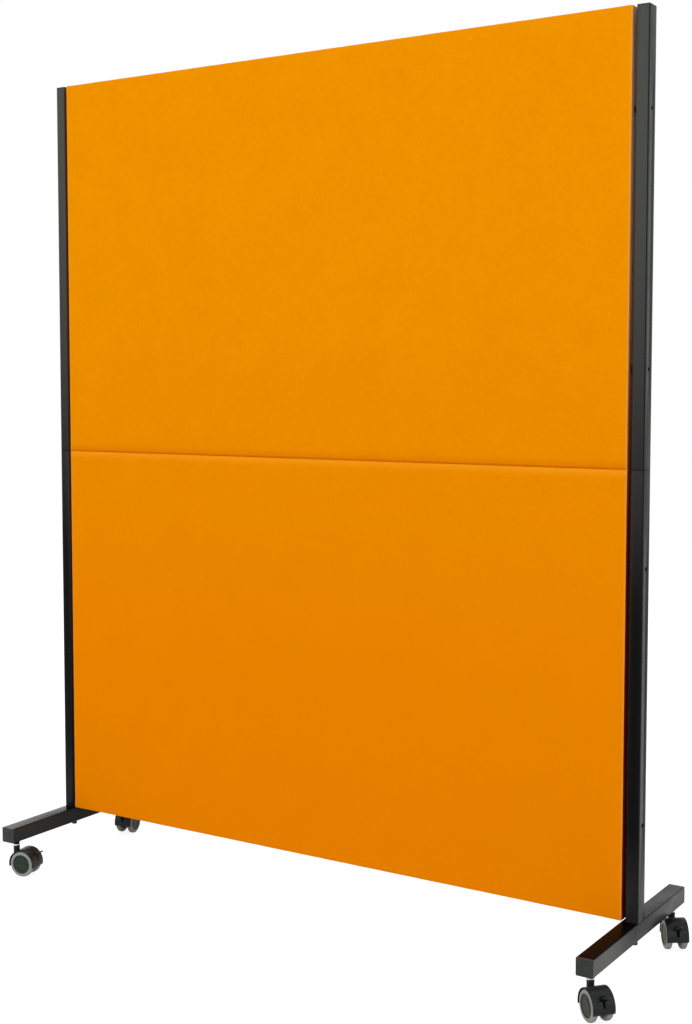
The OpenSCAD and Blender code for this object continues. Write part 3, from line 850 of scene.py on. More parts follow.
class Shape:
    """A mesh that is shaped with Blender's modelling operators and ends as a piece."""

    def __init__(self, obj: bpy.types.Object) -> None:
        """Wraps an object.

        Args:
            obj: a mesh object.
        """
        self.obj = obj

    # -- starts

    @staticmethod
    def _deselect() -> None:
        """Leaves nothing selected, in object mode."""
        if bpy.context.object is not None and bpy.context.object.mode != "OBJECT":
            bpy.ops.object.mode_set(mode="OBJECT")
        bpy.ops.object.select_all(action="DESELECT")

    @classmethod
    def _added(cls, name: str) -> "Shape":
        """Names the primitive that was just added, and puts its place into its mesh.

        Args:
            name: what the piece is called.

        Returns:
            The primitive.
        """
        obj = bpy.context.object
        obj.name = name
        obj.data.name = name
        bpy.ops.object.transform_apply(location=True, rotation=True, scale=True)
        return cls(obj)

    @classmethod
    def box(cls, name: str, low: Vector, high: Vector) -> "Shape":
        """A box between two corners.

        Args:
            name: what the piece is called.
            low: its lowest corner.
            high: its highest corner.

        Returns:
            The box.
        """
        cls._deselect()
        bpy.ops.mesh.primitive_cube_add(size=1.0, location=(low + high) / 2)
        bpy.context.object.scale = high - low
        return cls._added(name)

    @classmethod
    def bar(
        cls, name: str, radius: float, start: Vector, length: float, axis: Axis, sides: int = 48
    ) -> "Shape":
        """A round bar, or one with a few flats, from the middle of one end.

        Args:
            name: what the piece is called.
            radius: its radius over the corners.
            start: the middle of the end that it starts from.
            length: how far it runs along its axis.
            axis: the direction that it runs in.
            sides: how many sides it has.

        Returns:
            The bar.
        """
        cls._deselect()
        way = {Axis.X: X_AXIS, Axis.Y: Y_AXIS, Axis.Z: Z_AXIS}[axis]
        bpy.ops.mesh.primitive_cylinder_add(
            vertices=sides, radius=radius, depth=length,
            location=start + way * (length / 2), rotation=axis.value,
        )
        return cls._added(name)

    @classmethod
    def turned(
        cls,
        name: str,
        profile: Profile,
        centre: Vector,
        axis: Axis,
        closed: bool,
        stops: Sequence[tuple[float, int]] = ALL_ROUND,
        start: float = 0.0,
    ) -> "Shape":
        """A shape turned from an outline, by Blender's spin.

        Args:
            name: what the piece is called.
            profile: the outline's points, as (distance from the axis, place along the axis).
            centre: the point of the axis that the places along it are counted from.
            axis: Y or Z.
            closed: whether the outline's last point joins its first.
            stops: the angle of each stretch of the turn, and its number of steps.
            start: the angle at which the turn starts, from +X.

        Returns:
            The turned shape, with its faces outward.
        """
        cls._deselect()
        bpy.ops.mesh.primitive_circle_add(vertices=len(profile), radius=1.0)
        shape = cls._added(name)
        way, over = {Axis.Y: (Y_AXIS, Z_AXIS), Axis.Z: (Z_AXIS, Y_AXIS)}[axis]
        out = X_AXIS * math.cos(start) + over * math.sin(start)
        # Blender's spin turns clockwise about its axis: +Y takes +X to +Z, and -Z takes +X to +Y
        spin_axis = way if axis is Axis.Y else -way
        for vertex, (radius, along) in zip(shape.obj.data.vertices, profile):
            vertex.co = centre + out * radius + way * along
        shape._enter("VERT")
        mesh = bmesh.from_edit_mesh(shape.obj.data)
        if not closed:
            ends = {0, len(profile) - 1}
            for edge in mesh.edges:
                edge.select = {v.index for v in edge.verts} == ends
            doomed = [edge for edge in mesh.edges if edge.select]
            bmesh.ops.delete(mesh, geom=doomed, context="EDGES_FACES")
            bmesh.update_edit_mesh(shape.obj.data)
        bpy.ops.mesh.select_all(action="SELECT")
        for angle, steps in stops:
            bpy.ops.mesh.spin(
                steps=steps, angle=angle, center=centre, axis=spin_axis,
                use_auto_merge=False, use_normal_flip=False, dupli=False,
            )
        bpy.ops.mesh.select_all(action="SELECT")
        bpy.ops.mesh.remove_doubles(threshold=MERGE_REACH)
        bpy.ops.mesh.delete_loose(use_verts=True, use_edges=True, use_faces=False)
        bpy.ops.mesh.select_all(action="SELECT")
        bpy.ops.mesh.normals_make_consistent(inside=False)
        shape._leave()
        return shape

    # -- shaping

    def _pick(self) -> None:
        """Selects this shape alone, and makes it the active one."""
        self._deselect()
        self.obj.select_set(True)
        bpy.context.view_layer.objects.active = self.obj

    def _enter(self, kind: str) -> None:
        """Goes into edit mode on this shape alone.

        Args:
            kind: what is selected there: VERT, EDGE or FACE.
        """
        self._pick()
        bpy.ops.object.mode_set(mode="EDIT")
        bpy.ops.mesh.select_mode(type=kind)
        bpy.ops.mesh.select_all(action="DESELECT")

    @staticmethod
    def _leave() -> None:
        """Goes back to object mode."""
        bpy.ops.object.mode_set(mode="OBJECT")

    def _choose(self, kind: str, test: Test) -> None:
        """Enters edit mode with the elements selected that pass a test.

        Args:
            kind: VERT, EDGE or FACE.
            test: says of a bmesh vertex, edge or face whether it is chosen.
        """
        self._enter(kind)
        mesh = bmesh.from_edit_mesh(self.obj.data)
        for element in {"VERT": mesh.verts, "EDGE": mesh.edges, "FACE": mesh.faces}[kind]:
            if test(element):
                element.select_set(True)
        mesh.select_flush_mode()
        bmesh.update_edit_mesh(self.obj.data)

    def bevel(self, width: float, segments: int, test: Test) -> "Shape":
        """Rounds the chosen edges.

        Args:
            width: the radius of the rounding.
            segments: the number of steps in it.
            test: says of an edge whether it is rounded.

        Returns:
            This shape.
        """
        self._choose("EDGE", test)
        bpy.ops.mesh.bevel(offset=width, segments=segments, affect="EDGES", clamp_overlap=True)
        self._leave()
        return self

    def subdivide(self, cuts: int, test: Test) -> "Shape":
        """Cuts the chosen edges into equal parts, and the faces between them with them.

        Args:
            cuts: the number of cuts in each edge.
            test: says of an edge whether it is cut.

        Returns:
            This shape.
        """
        self._choose("EDGE", test)
        bpy.ops.mesh.subdivide(number_cuts=cuts, quadcorner="INNERVERT")
        self._leave()
        return self

    def delete_faces(self, test: Test) -> "Shape":
        """Takes the chosen faces out.

        Args:
            test: says of a face whether it goes.

        Returns:
            This shape.
        """
        self._choose("FACE", test)
        bpy.ops.mesh.delete(type="FACE")
        self._leave()
        return self

    def trim(self, point: Vector, normal: Vector) -> "Shape":
        """Cuts off all that lies on the normal's side of a plane, and closes the cut.

        Args:
            point: a point of the plane.
            normal: the plane's normal, towards what goes.

        Returns:
            This shape.
        """
        self._enter("VERT")
        bpy.ops.mesh.select_all(action="SELECT")
        bpy.ops.mesh.bisect(
            plane_co=point, plane_no=normal, use_fill=True, clear_outer=True, threshold=TINY
        )
        self._leave()
        return self

    def modify(self, kind: str, **settings: Any) -> "Shape":
        """Adds a modifier and applies it.

        Args:
            kind: the modifier's type.
            settings: its properties.

        Returns:
            This shape.
        """
        self._pick()
        modifier = self.obj.modifiers.new("step", kind)
        for key, value in settings.items():
            setattr(modifier, key, value)
        bpy.ops.object.modifier_apply(modifier=modifier.name)
        return self

    def soften(self, width: float, segments: int = 2, angle: float = 40.0) -> "Shape":
        """Rounds every edge that is sharper than an angle.

        Args:
            width: the radius of the rounding.
            segments: the number of steps in it.
            angle: the angle in degrees.

        Returns:
            This shape.
        """
        return self.modify(
            "BEVEL", width=width, segments=segments, limit_method="ANGLE",
            angle_limit=math.radians(angle), use_clamp_overlap=True, miter_outer="MITER_ARC",
        )

    def _combine(self, other: "Shape", operation: str) -> "Shape":
        """Works another shape into this one, and removes it.

        Args:
            other: the other shape.
            operation: the kind of Boolean.

        Returns:
            This shape.
        """
        self.modify("BOOLEAN", object=other.obj, operation=operation, solver="EXACT")
        bpy.data.objects.remove(other.obj)
        return self

    def cut(self, other: "Shape") -> "Shape":
        """Takes another shape out of this one."""
        return self._combine(other, "DIFFERENCE")

    def unite(self, other: "Shape") -> "Shape":
        """Adds another shape to this one."""
        return self._combine(other, "UNION")

    def move(self, matrix: Matrix) -> "Shape":
        """Moves the mesh, and leaves the object at the origin.

        Args:
            matrix: the turn and the move.

        Returns:
            This shape.
        """
        self.obj.data.transform(matrix)
        self.obj.data.update()
        return self

    def copy(self, name: str) -> "Shape":
        """A copy with a mesh of its own.

        Args:
            name: what the copy is called.

        Returns:
            The copy.
        """
        obj = self.obj.copy()
        obj.data = self.obj.data.copy()
        obj.name = name
        obj.data.name = name
        bpy.context.scene.collection.objects.link(obj)
        return Shape(obj)

    def smooth(self, angle: float = 32.0) -> "Shape":
        """Shades smoothly across every edge that is flatter than an angle.

        Args:
            angle: the angle in degrees.

        Returns:
            This shape.
        """
        self._pick()
        bpy.ops.object.shade_smooth_by_angle(angle=math.radians(angle))
        return self

    def remove(self) -> None:
        """Takes a pattern away once its copies are made."""
        bpy.data.objects.remove(self.obj)

    def finish(self, finishes: Finishes, slot: Slot, body: str, *nodes: str) -> bpy.types.Object:
        """Turns the shape into a piece of the object.

        Args:
            finishes: the object's finishes.
            slot: the slot whose finish the piece has.
            body: the body that the piece rides on.
            nodes: the frame's nodes that it stands for.

        Returns:
            The piece.
        """
        self.obj.data.materials.clear()
        self.obj.data.materials.append(finishes.by_slot[slot])
        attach(self.obj, body)
        if nodes:
            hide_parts(*nodes)
        return self.obj


def along(edge: Any, way: Vector) -> bool:
    """Says whether a bmesh edge runs along a direction."""
    run = edge.verts[1].co - edge.verts[0].co
    return abs(run.normalized().dot(way)) > PARALLEL


def lies_at(edge: Any, way: Vector, place: float) -> bool:
    """Says whether a bmesh edge lies at a place along a direction."""
    return all(abs(vertex.co.dot(way) - place) < TINY for vertex in edge.verts)


def shifted(points: Profile, radius: float, place: float) -> list[tuple[float, float]]:
    """Points of an outline that are given in millimetres from another point of it.

    Args:
        points: how far each lies from that point, as (distance from the axis, place along it).
        radius: the other point's distance from the axis, in metres.
        place: its place along the axis, in metres.

    Returns:
        The points in metres.
    """
    return [(radius + out * MM, place + on * MM) for out, on in points]


def arc(centre: tuple[float, float], radius: float, low: float, high: float, steps: int) -> list:
    """Points on an arc of an outline.

    Args:
        centre: the arc's centre.
        radius: its radius.
        low: the angle of its first point, in degrees.
        high: the angle of its last point.
        steps: the number of steps between them.

    Returns:
        The points, in order.
    """
    angles = [math.radians(low + (high - low) * i / steps) for i in range(steps + 1)]
    return [(centre[0] + radius * math.cos(a), centre[1] + radius * math.sin(a)) for a in angles]


# ------------------------------------------------------------------ panels


@dataclass
class UpholsteredPanel:
    """A panel of fabric stretched over thin padding, with soft edges and a closing seam."""

    name: str
    node: str
    meeting_end: int
    edge_radius: float = 5.5 * MM
    outline_radius: float = 1.8 * MM
    meeting_radius: float = 1.2 * MM
    grid: float = 10 * MM
    seam_width: float = 1.1 * MM
    seam_depth: float = 0.9 * MM
    seam_line: float = 0.25
    edge_fall: float = 1.0 * MM
    edge_fall_reach: float = 32 * MM
    swell: float = 0.35 * MM
    swell_pace: float = 9.0
    swell_apart: float = 3.0
    tuck: float = 0.6 * MM
    tuck_pitch: float = 95 * MM
    tuck_reach: float = 16 * MM
    tuck_beat: float = 0.35
    tuck_slow: float = 0.65
    wander: float = 0.35
    wander_pace: float = 3.1
    wander_row: float = 0.3
    slow_pace: float = 5.0
    slow_row: float = 4.7
    side_seed: float = 7.0
    level_seed: float = 13.0
    corner_reach: float = 45 * MM
    seam_tuck: float = 0.5
    seam_swell: float = 0.45 * MM
    broad: float = 0.9
    narrow: float = 0.1

    def build(self, finishes: Finishes) -> bpy.types.Object:
        """Models the panel.

        Args:
            finishes: the object's finishes.

        Returns:
            The finished piece.
        """
        low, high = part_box(self.node)
        self.middle = (low + high) / 2
        self.half = (high - low) / 2
        shape = Shape.box(self.name, low, high)
        shape.subdivide(round(2 * self.half.x / self.grid), lambda e: along(e, X_AXIS))
        shape.subdivide(round(2 * self.half.z / self.grid), lambda e: along(e, Z_AXIS))
        shape.subdivide(1, lambda e: along(e, Y_AXIS))
        for radius, meets in ((self.outline_radius, False), (self.meeting_radius, True)):
            shape.bevel(radius, 3, lambda e: self._is_corner(e) and self._meets(e) is meets)
        shape.bevel(self.edge_radius, 5, self._is_rim)
        shape.bevel(self.seam_width, 2, self._is_seam)
        self._sculpt(shape.obj.data)
        shape.smooth(60)
        piece = shape.finish(finishes, Slot.FABRIC, STATIC_BODY, self.node)
        return piece

    def _is_corner(self, edge: Any) -> bool:
        """Says whether an edge is one of the four corners of the outline.

        Args:
            edge: a bmesh edge.

        Returns:
            Whether it is.
        """
        spot = edge.verts[0].co - self.middle
        at_side = abs(spot.x) > self.half.x - TINY
        return along(edge, Y_AXIS) and at_side and abs(spot.z) > self.half.z - TINY

    def _meets(self, edge: Any) -> bool:
        """Says whether an edge lies at the end where the two panels meet."""
        above = edge.verts[0].co.z > self.middle.z
        return above is (self.meeting_end > 0)

    def _is_rim(self, edge: Any) -> bool:
        """Says whether an edge lies between a broad face and a narrow one.

        Args:
            edge: a bmesh edge.

        Returns:
            Whether it does.
        """
        if along(edge, Y_AXIS) or len(edge.link_faces) != 2:
            return False
        first, second = (abs(face.normal.y) > self.broad for face in edge.link_faces)
        return first != second

    def _is_seam(self, edge: Any) -> bool:
        """Says whether an edge lies on the closing seam, midway along the narrow faces."""
        level = lies_at(edge, Y_AXIS, self.middle.y)
        return level and all(abs(face.normal.y) < self.narrow for face in edge.link_faces)

    def _sculpt(self, mesh: bpy.types.Mesh) -> None:
        """Gives the cloth its seam, its soft edges and the small pulls of its staples.

        Args:
            mesh: the panel's mesh.
        """
        for vertex in mesh.vertices:
            spot = vertex.co - self.middle
            inset = Vector((self.half.x - abs(spot.x), 0, self.half.z - abs(spot.z)))
            near = min(inset.x, inset.z)
            outward = self._outward(spot, inset)
            side = self._side(spot.y)
            at_rim = self._fade(near / self.tuck_reach)
            pull = self._pull(vertex.co, outward) * at_rim
            drop = self.edge_fall * self._fade(near / self.edge_fall_reach)
            patch = Vector((spot.x, side * self.swell_apart, spot.z)) * self.swell_pace
            swell = self.swell * noise.noise(patch)
            vertex.co.y += side * (swell * (1 - at_rim) - drop)
            vertex.co -= outward * pull
            if abs(spot.y) < self.seam_line * self.seam_width and near < TINY:
                vertex.co -= outward * self.seam_depth
        mesh.update()

    @staticmethod
    def _fade(share: float) -> float:
        """Falls smoothly from 1 at 0 to 0 at 1 and beyond."""
        kept = max(0.0, 1.0 - share)
        return kept * kept * (3 - 2 * kept)

    def _side(self, y: float) -> float:
        """1 at the back, -1 at the front, and in between on the narrow faces."""
        return max(-1.0, min(1.0, y / (self.half.y - self.edge_radius)))

    @staticmethod
    def _outward(spot: Vector, inset: Vector) -> Vector:
        """The direction in the panel's plane that leads out over the nearest edge.

        Args:
            spot: the place from the panel's middle.
            inset: how far it lies within the panel's sides and ends.

        Returns:
            The direction.
        """
        if inset.x < inset.z:
            return X_AXIS * math.copysign(1, spot.x)
        return Z_AXIS * math.copysign(1, spot.z)

    def _pull(self, place: Vector, outward: Vector) -> float:
        """How far the cloth is drawn in at a place of the rim, by its staples.

        Args:
            place: the place.
            outward: the direction out over the nearest edge.

        Returns:
            The distance, below 0 where the cloth swells out.
        """
        spot = place - self.middle
        level = outward.z != 0
        run = place.x if level else place.z
        to_corner = self.half.x - abs(spot.x) if level else self.half.z - abs(spot.z)
        kept = 1.0 - self._fade(to_corner / self.corner_reach)
        swell = 0.0
        if outward.z * self.meeting_end > 0:
            kept, swell = kept * self.seam_tuck, self.seam_swell
        seed = self.side_seed * outward.x + self.level_seed * outward.z
        drift = noise.noise(Vector((run * self.wander_pace, seed, self.wander_row)))
        turn = 2 * math.pi * (run / self.tuck_pitch + self.wander * drift)
        beat = 0.5 + 0.5 * math.cos(turn)
        slow = 0.5 + 0.5 * noise.noise(Vector((run * self.slow_pace, seed, self.slow_row)))
        return kept * self.tuck * (self.tuck_beat * beat * beat + self.tuck_slow * slow) - swell


# ------------------------------------------------------------------ posts and feet


@dataclass
class SquareTube:
    """A length of rectangular steel tube with round corners and deburred ends."""

    name: str
    low: Vector
    high: Vector
    run: Vector
    corner: float = 3 * MM
    wall: float = 2 * MM
    burr: float = 0.7 * MM
    end_face: float = 0.9

    def build(self) -> Shape:
        """Models the tube.

        Returns:
            The tube, open at both ends.
        """
        shape = Shape.box(self.name, self.low, self.high)
        shape.bevel(self.corner, 5, lambda e: along(e, self.run))
        shape.delete_faces(lambda f: abs(f.normal.dot(self.run)) > self.end_face)
        shape.modify("SOLIDIFY", thickness=self.wall, offset=-1.0, use_even_offset=True)
        return shape.soften(self.burr, segments=2, angle=60)


@dataclass
class CapFlange:
    """The flange of a moulded cap: round corners, a rounder outer face and a fine seat."""

    name: str
    low: Vector
    high: Vector
    outward: Vector
    corner: float = 3 * MM
    edge: float = 1.2 * MM
    seat_edge: float = 0.3 * MM

    def build(self, finishes: Finishes, node: str) -> bpy.types.Object:
        """Models the flange.

        Args:
            finishes: the object's finishes.
            node: the frame's node of the caps.

        Returns:
            The finished piece.
        """
        seat, face = sorted(end.dot(self.outward) for end in (self.low, self.high))
        shape = Shape.box(self.name, self.low, self.high)
        shape.bevel(self.corner, 5, lambda e: along(e, self.outward))
        shape.bevel(self.edge, 4, lambda e: lies_at(e, self.outward, face))
        shape.bevel(self.seat_edge, 2, lambda e: lies_at(e, self.outward, seat))
        return shape.smooth().finish(finishes, Slot.CAP, STATIC_BODY, node)


@dataclass
class Post:
    """One stretch of a post, with the holes that let the panel's screws in."""

    side: str
    level: str
    access_radius: float = 5 * MM
    shank_radius: float = 2.8 * MM
    hole_edge: float = 0.35 * MM
    mouth_reach: float = 0.1 * MM
    spacer_reach: float = 50 * MM

    @property
    def outward(self) -> float:
        """1 for a post on the right, -1 for one on the left."""
        return 1.0 if self.side == "right" else -1.0

    def build(self, finishes: Finishes) -> bpy.types.Object:
        """Models the stretch of post.

        Args:
            finishes: the object's finishes.

        Returns:
            The finished piece.
        """
        node = f"post_{self.level}_{self.side}"
        low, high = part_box(node)
        shape = SquareTube(f"post_tube_{self.level}_{self.side}", low, high, Z_AXIS).build()
        for place in self._screw_places():
            if low.z < place.z < high.z:
                self._drill(shape, place, low, high)
        return shape.smooth().finish(finishes, Slot.POWDER_COAT, STATIC_BODY, node)

    def _screw_places(self) -> list[Vector]:
        """The middles of the spacers on this side, which every screw passes.

        Returns:
            The places, from the floor up.
        """
        spacers = frame["nodes"]["panel_spacers"].data.vertices
        groups: list[list[Vector]] = []
        for corner in (vertex.co for vertex in spacers if vertex.co.x * self.outward > 0):
            for group in groups:
                if abs(corner.z - group[0].z) < self.spacer_reach:
                    group.append(corner)
                    break
            else:
                groups.append([corner])
        groups.sort(key=lambda group: group[0].z)
        return [sum(group, Vector()) / len(group) for group in groups]

    def _drill(self, shape: Shape, place: Vector, low: Vector, high: Vector) -> None:
        """Drills the wide hole in the outer wall and the narrow one in the inner wall.

        Args:
            shape: the post's tube.
            place: the middle of the screw's spacer.
            low: the tube's lowest corner.
            high: its highest corner.
        """
        middle, depth = (low.x + high.x) / 2, high.x - low.x
        for radius, side in ((self.access_radius, self.outward), (self.shank_radius, -self.outward)):
            start = middle if side > 0 else middle - depth
            centre = Vector((start, place.y, place.z))
            shape.cut(Shape.bar("drill", radius, centre, depth, Axis.X, 40))
        mouth = Vector((high.x if self.outward > 0 else low.x, place.y, place.z))

        def is_mouth(edge: Any) -> bool:
            """Says whether an edge is on the mouth of the wide hole."""
            gaps = (abs((v.co - mouth).length - self.access_radius) for v in edge.verts)
            return max(gaps) < self.mouth_reach

        shape.bevel(self.hole_edge, 2, is_mouth)


@dataclass
class Foot:
    """A foot: its tube and the moulded caps in its two ends."""

    side: str

    def build(self, finishes: Finishes) -> list[bpy.types.Object]:
        """Models the foot.

        Args:
            finishes: the object's finishes.

        Returns:
            The tube and the two caps.
        """
        node = f"foot_{self.side}"
        low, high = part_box(node)
        tube = SquareTube(f"foot_tube_{self.side}", low, high, Y_AXIS).build()
        made = [tube.smooth().finish(finishes, Slot.POWDER_COAT, STATIC_BODY, node)]
        caps_low, caps_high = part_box("foot_end_caps")
        for end, front, rear, outward in (
            ("front", caps_low.y, low.y, -Y_AXIS),
            ("back", high.y, caps_high.y, Y_AXIS),
        ):
            cap_low, cap_high = Vector((low.x, front, low.z)), Vector((high.x, rear, high.z))
            cap = CapFlange(f"foot_cap_{end}_{self.side}", cap_low, cap_high, outward)
            made.append(cap.build(finishes, "foot_end_caps"))
        return made


@dataclass
class PostCap:
    """The moulded cap on top of a post."""

    side: str

    def build(self, finishes: Finishes) -> bpy.types.Object:
        """Models the cap's flange.

        Args:
            finishes: the object's finishes.

        Returns:
            The finished piece.
        """
        post_low, post_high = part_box(f"post_upper_{self.side}")
        _, caps_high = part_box("post_caps")
        low = Vector((post_low.x, post_low.y, post_high.z))
        high = Vector((post_high.x, post_high.y, caps_high.z))
        return CapFlange(f"post_cap_{self.side}", low, high, Z_AXIS).build(finishes, "post_caps")


# ------------------------------------------------------------------ castors


@dataclass
class CastorPart:
    """What the pieces of a castor share, with the stem over the origin and in metres.

    Angles are counted about the axle, in degrees from the trailing side up.
    """

    trail: float
    axle_height: float
    lever_angle: float = 50.0
    lever_arm: float = 28 * MM
    neck_low: float = 42 * MM
    collar_top: float = 81 * MM
    edge: float = 0.4 * MM

    @property
    def axle(self) -> Vector:
        """The middle of the axle."""
        return Vector((self.trail, 0, self.axle_height))

    @property
    def pivot(self) -> Vector:
        """The middle of the brake lever's pin."""
        turn = math.radians(self.lever_angle)
        return self.axle + Vector((math.cos(turn), 0, math.sin(turn))) * self.lever_arm

    def about_axle(self, angle: float) -> Matrix:
        """The move that takes a shape modelled along +X to an angle about the axle."""
        return Matrix.Translation(self.axle) @ Matrix.Rotation(-angle, 4, "Y")


@dataclass
class Housing(CastorPart):
    """The hood with its window and beads, the web, the boss, the lever's ears and the neck."""

    hood_inner: float = 35.2 * MM
    hood_outer: float = 37.6 * MM
    hood_width: float = 52 * MM
    hood_shoulder: float = 1.8 * MM
    hood_drop: float = 7.5 * MM
    hood_below: float = 20.0
    bead_width: float = 2.4 * MM
    bead_height: float = 0.45 * MM
    bead_above: float = 3.4 * MM
    window_half: float = 7.5 * MM
    slot_half: float = 3.3 * MM
    slot_low: float = 9.0
    window_low: float = 32.0
    window_high: float = 48.0
    web_half: float = 6 * MM
    web_radius: float = 22 * MM
    web_angle: float = 68.0
    boss_radius: float = 8 * MM
    boss_half: float = 10.5 * MM
    ear_radius: float = 3.75 * MM
    ear_inside: float = 7.5 * MM
    neck_bore: float = 4.55 * MM
    neck_radius: float = 8.5 * MM
    neck_lip: float = 0.4 * MM
    neck_lip_height: float = 3.0 * MM
    neck_top: float = 77.2 * MM

    @property
    def hood_middle(self) -> float:
        """The radius midway through the hood's wall."""
        return (self.hood_inner + self.hood_outer) / 2

    def build(self) -> Shape:
        """Models the housing.

        Returns:
            The housing, in one piece.
        """
        shape = self._hood()
        shape.unite(self._web()).unite(self._boss()).unite(self._neck())
        for side in (-1, 1):
            shape.unite(self._ear(side))
        rear = math.asin((self.bead_above - self.hood_drop) / self.hood_outer)
        for angle in (rear, math.pi - rear):
            shape.unite(self._bead(angle))
        return shape.smooth()

    def _bead(self, angle: float) -> Shape:
        """The bead that stiffens the hood, just above one of its lower edges.

        Args:
            angle: where it lies about the axle, in radians.

        Returns:
            The bead.
        """
        half = self.hood_width / 2 - self.hood_shoulder
        low = Vector((self.hood_outer - self.bead_height, -half, -self.bead_width / 2))
        high = Vector((self.hood_outer + self.bead_height, half, self.bead_width / 2))
        bead = Shape.box("castor_bead", low, high).soften(self.edge, segments=3)
        return bead.move(self.about_axle(angle))

    def _ear(self, side: int) -> Shape:
        """One of the two ears under the hood that hold the lever's pin.

        Args:
            side: 1 for the ear on the +Y side, -1 for the other.

        Returns:
            The ear.
        """
        inside, outside = self.ear_inside, self.boss_half
        start = Vector((self.lever_arm, inside if side > 0 else -outside, 0))
        ear = Shape.bar("castor_ear", self.ear_radius, start, outside - inside, Axis.Y, 32)
        low = Vector((start.x, start.y, -self.ear_radius))
        high = Vector((self.hood_middle, start.y + outside - inside, self.ear_radius))
        ear.unite(Shape.box("castor_ear_root", low, high))
        return ear.move(self.about_axle(math.radians(self.lever_angle)))

    def _hood(self) -> Shape:
        """The hood over the wheels, with the lever's window and the slot below it.

        Returns:
            The hood.
        """
        half, shoulder = self.hood_width / 2, self.hood_shoulder
        right = arc((self.hood_outer - shoulder, half - shoulder), shoulder, 90, 0, 4)
        right += [(self.hood_outer, self.window_half), (self.hood_outer, self.slot_half)]
        left = [(radius, -y) for radius, y in reversed(right)]
        turns = (
            -self.hood_below, self.slot_low, self.window_low, self.window_high,
            180.0 + self.hood_below,
        )
        angles = [math.radians(turn) for turn in turns]
        stops = [(b - a, n) for a, b, n in zip(angles, angles[1:], (7, 7, 7, 44))]
        shape = Shape.turned(
            "castor_hood", right + left, self.axle, Axis.Y, False, stops, angles[0]
        )
        shape.delete_faces(self._in_opening)
        self._face_outward(shape.obj.data)
        wall = self.hood_outer - self.hood_inner
        shape.modify("SOLIDIFY", thickness=wall, offset=-1.0, use_even_offset=True)
        shape.trim(self.axle - Z_AXIS * self.hood_drop, -Z_AXIS)
        return shape.soften(self.edge, segments=2, angle=45)

    def _in_opening(self, face: Any) -> bool:
        """Says whether a face of the hood lies in the lever's window or the slot.

        Args:
            face: a bmesh face.

        Returns:
            Whether it does.
        """
        spot = face.calc_center_median() - self.axle
        angle, off = math.degrees(math.atan2(spot.z, spot.x)), abs(spot.y)
        in_window = self.window_low < angle < self.window_high and off < self.window_half
        in_slot = self.slot_low < angle < self.window_high and off < self.slot_half
        return in_window or in_slot

    def _face_outward(self, mesh: bpy.types.Mesh) -> None:
        """Turns the skin's faces away from the axle, whatever side the spin left them on."""
        if sum((face.center - self.axle).dot(face.normal) for face in mesh.polygons) < 0:
            mesh.flip_normals()

    def _web(self) -> Shape:
        """The plate between the wheels, which the axle goes through.

        Returns:
            The web.
        """
        start, width = self.axle - Y_AXIS * self.web_half, 2 * self.web_half
        web = Shape.bar("castor_web_back", self.hood_middle, start, width, Axis.Y, 96)
        turn = math.radians(self.web_angle)
        web.trim(self.axle, Vector((math.sin(turn), 0, -math.cos(turn))))
        web.unite(Shape.bar("castor_web_front", self.web_radius, start, width, Axis.Y, 72))
        web.trim(self.axle - Z_AXIS * self.hood_drop, -Z_AXIS)
        return web.soften(self.edge, segments=2, angle=45)

    def _boss(self) -> Shape:
        """The boss that holds the axle.

        Returns:
            The boss.
        """
        start = self.axle - Y_AXIS * self.boss_half
        boss = Shape.bar("castor_boss", self.boss_radius, start, 2 * self.boss_half, Axis.Y)
        return boss.soften(self.edge, segments=2, angle=60)

    def _neck(self) -> Shape:
        """The neck that the stem's pin goes into, with the lip at its top.

        Returns:
            The neck.
        """
        bore, low, top, edge = self.neck_bore, self.neck_low, self.neck_top, self.edge
        lip = self.neck_radius + self.neck_lip
        lip_low = top - self.neck_lip_height
        outline = [(bore, low), (self.neck_radius, low)]
        outline += [(self.neck_radius, lip_low - self.neck_lip), (lip, lip_low)]
        outline += arc((lip - edge, top - edge), edge, 0, 90, 3)
        outline += [(bore, top)]
        return Shape.turned("castor_neck", outline, ORIGIN, Axis.Z, True, ALL_ROUND_SMALL)


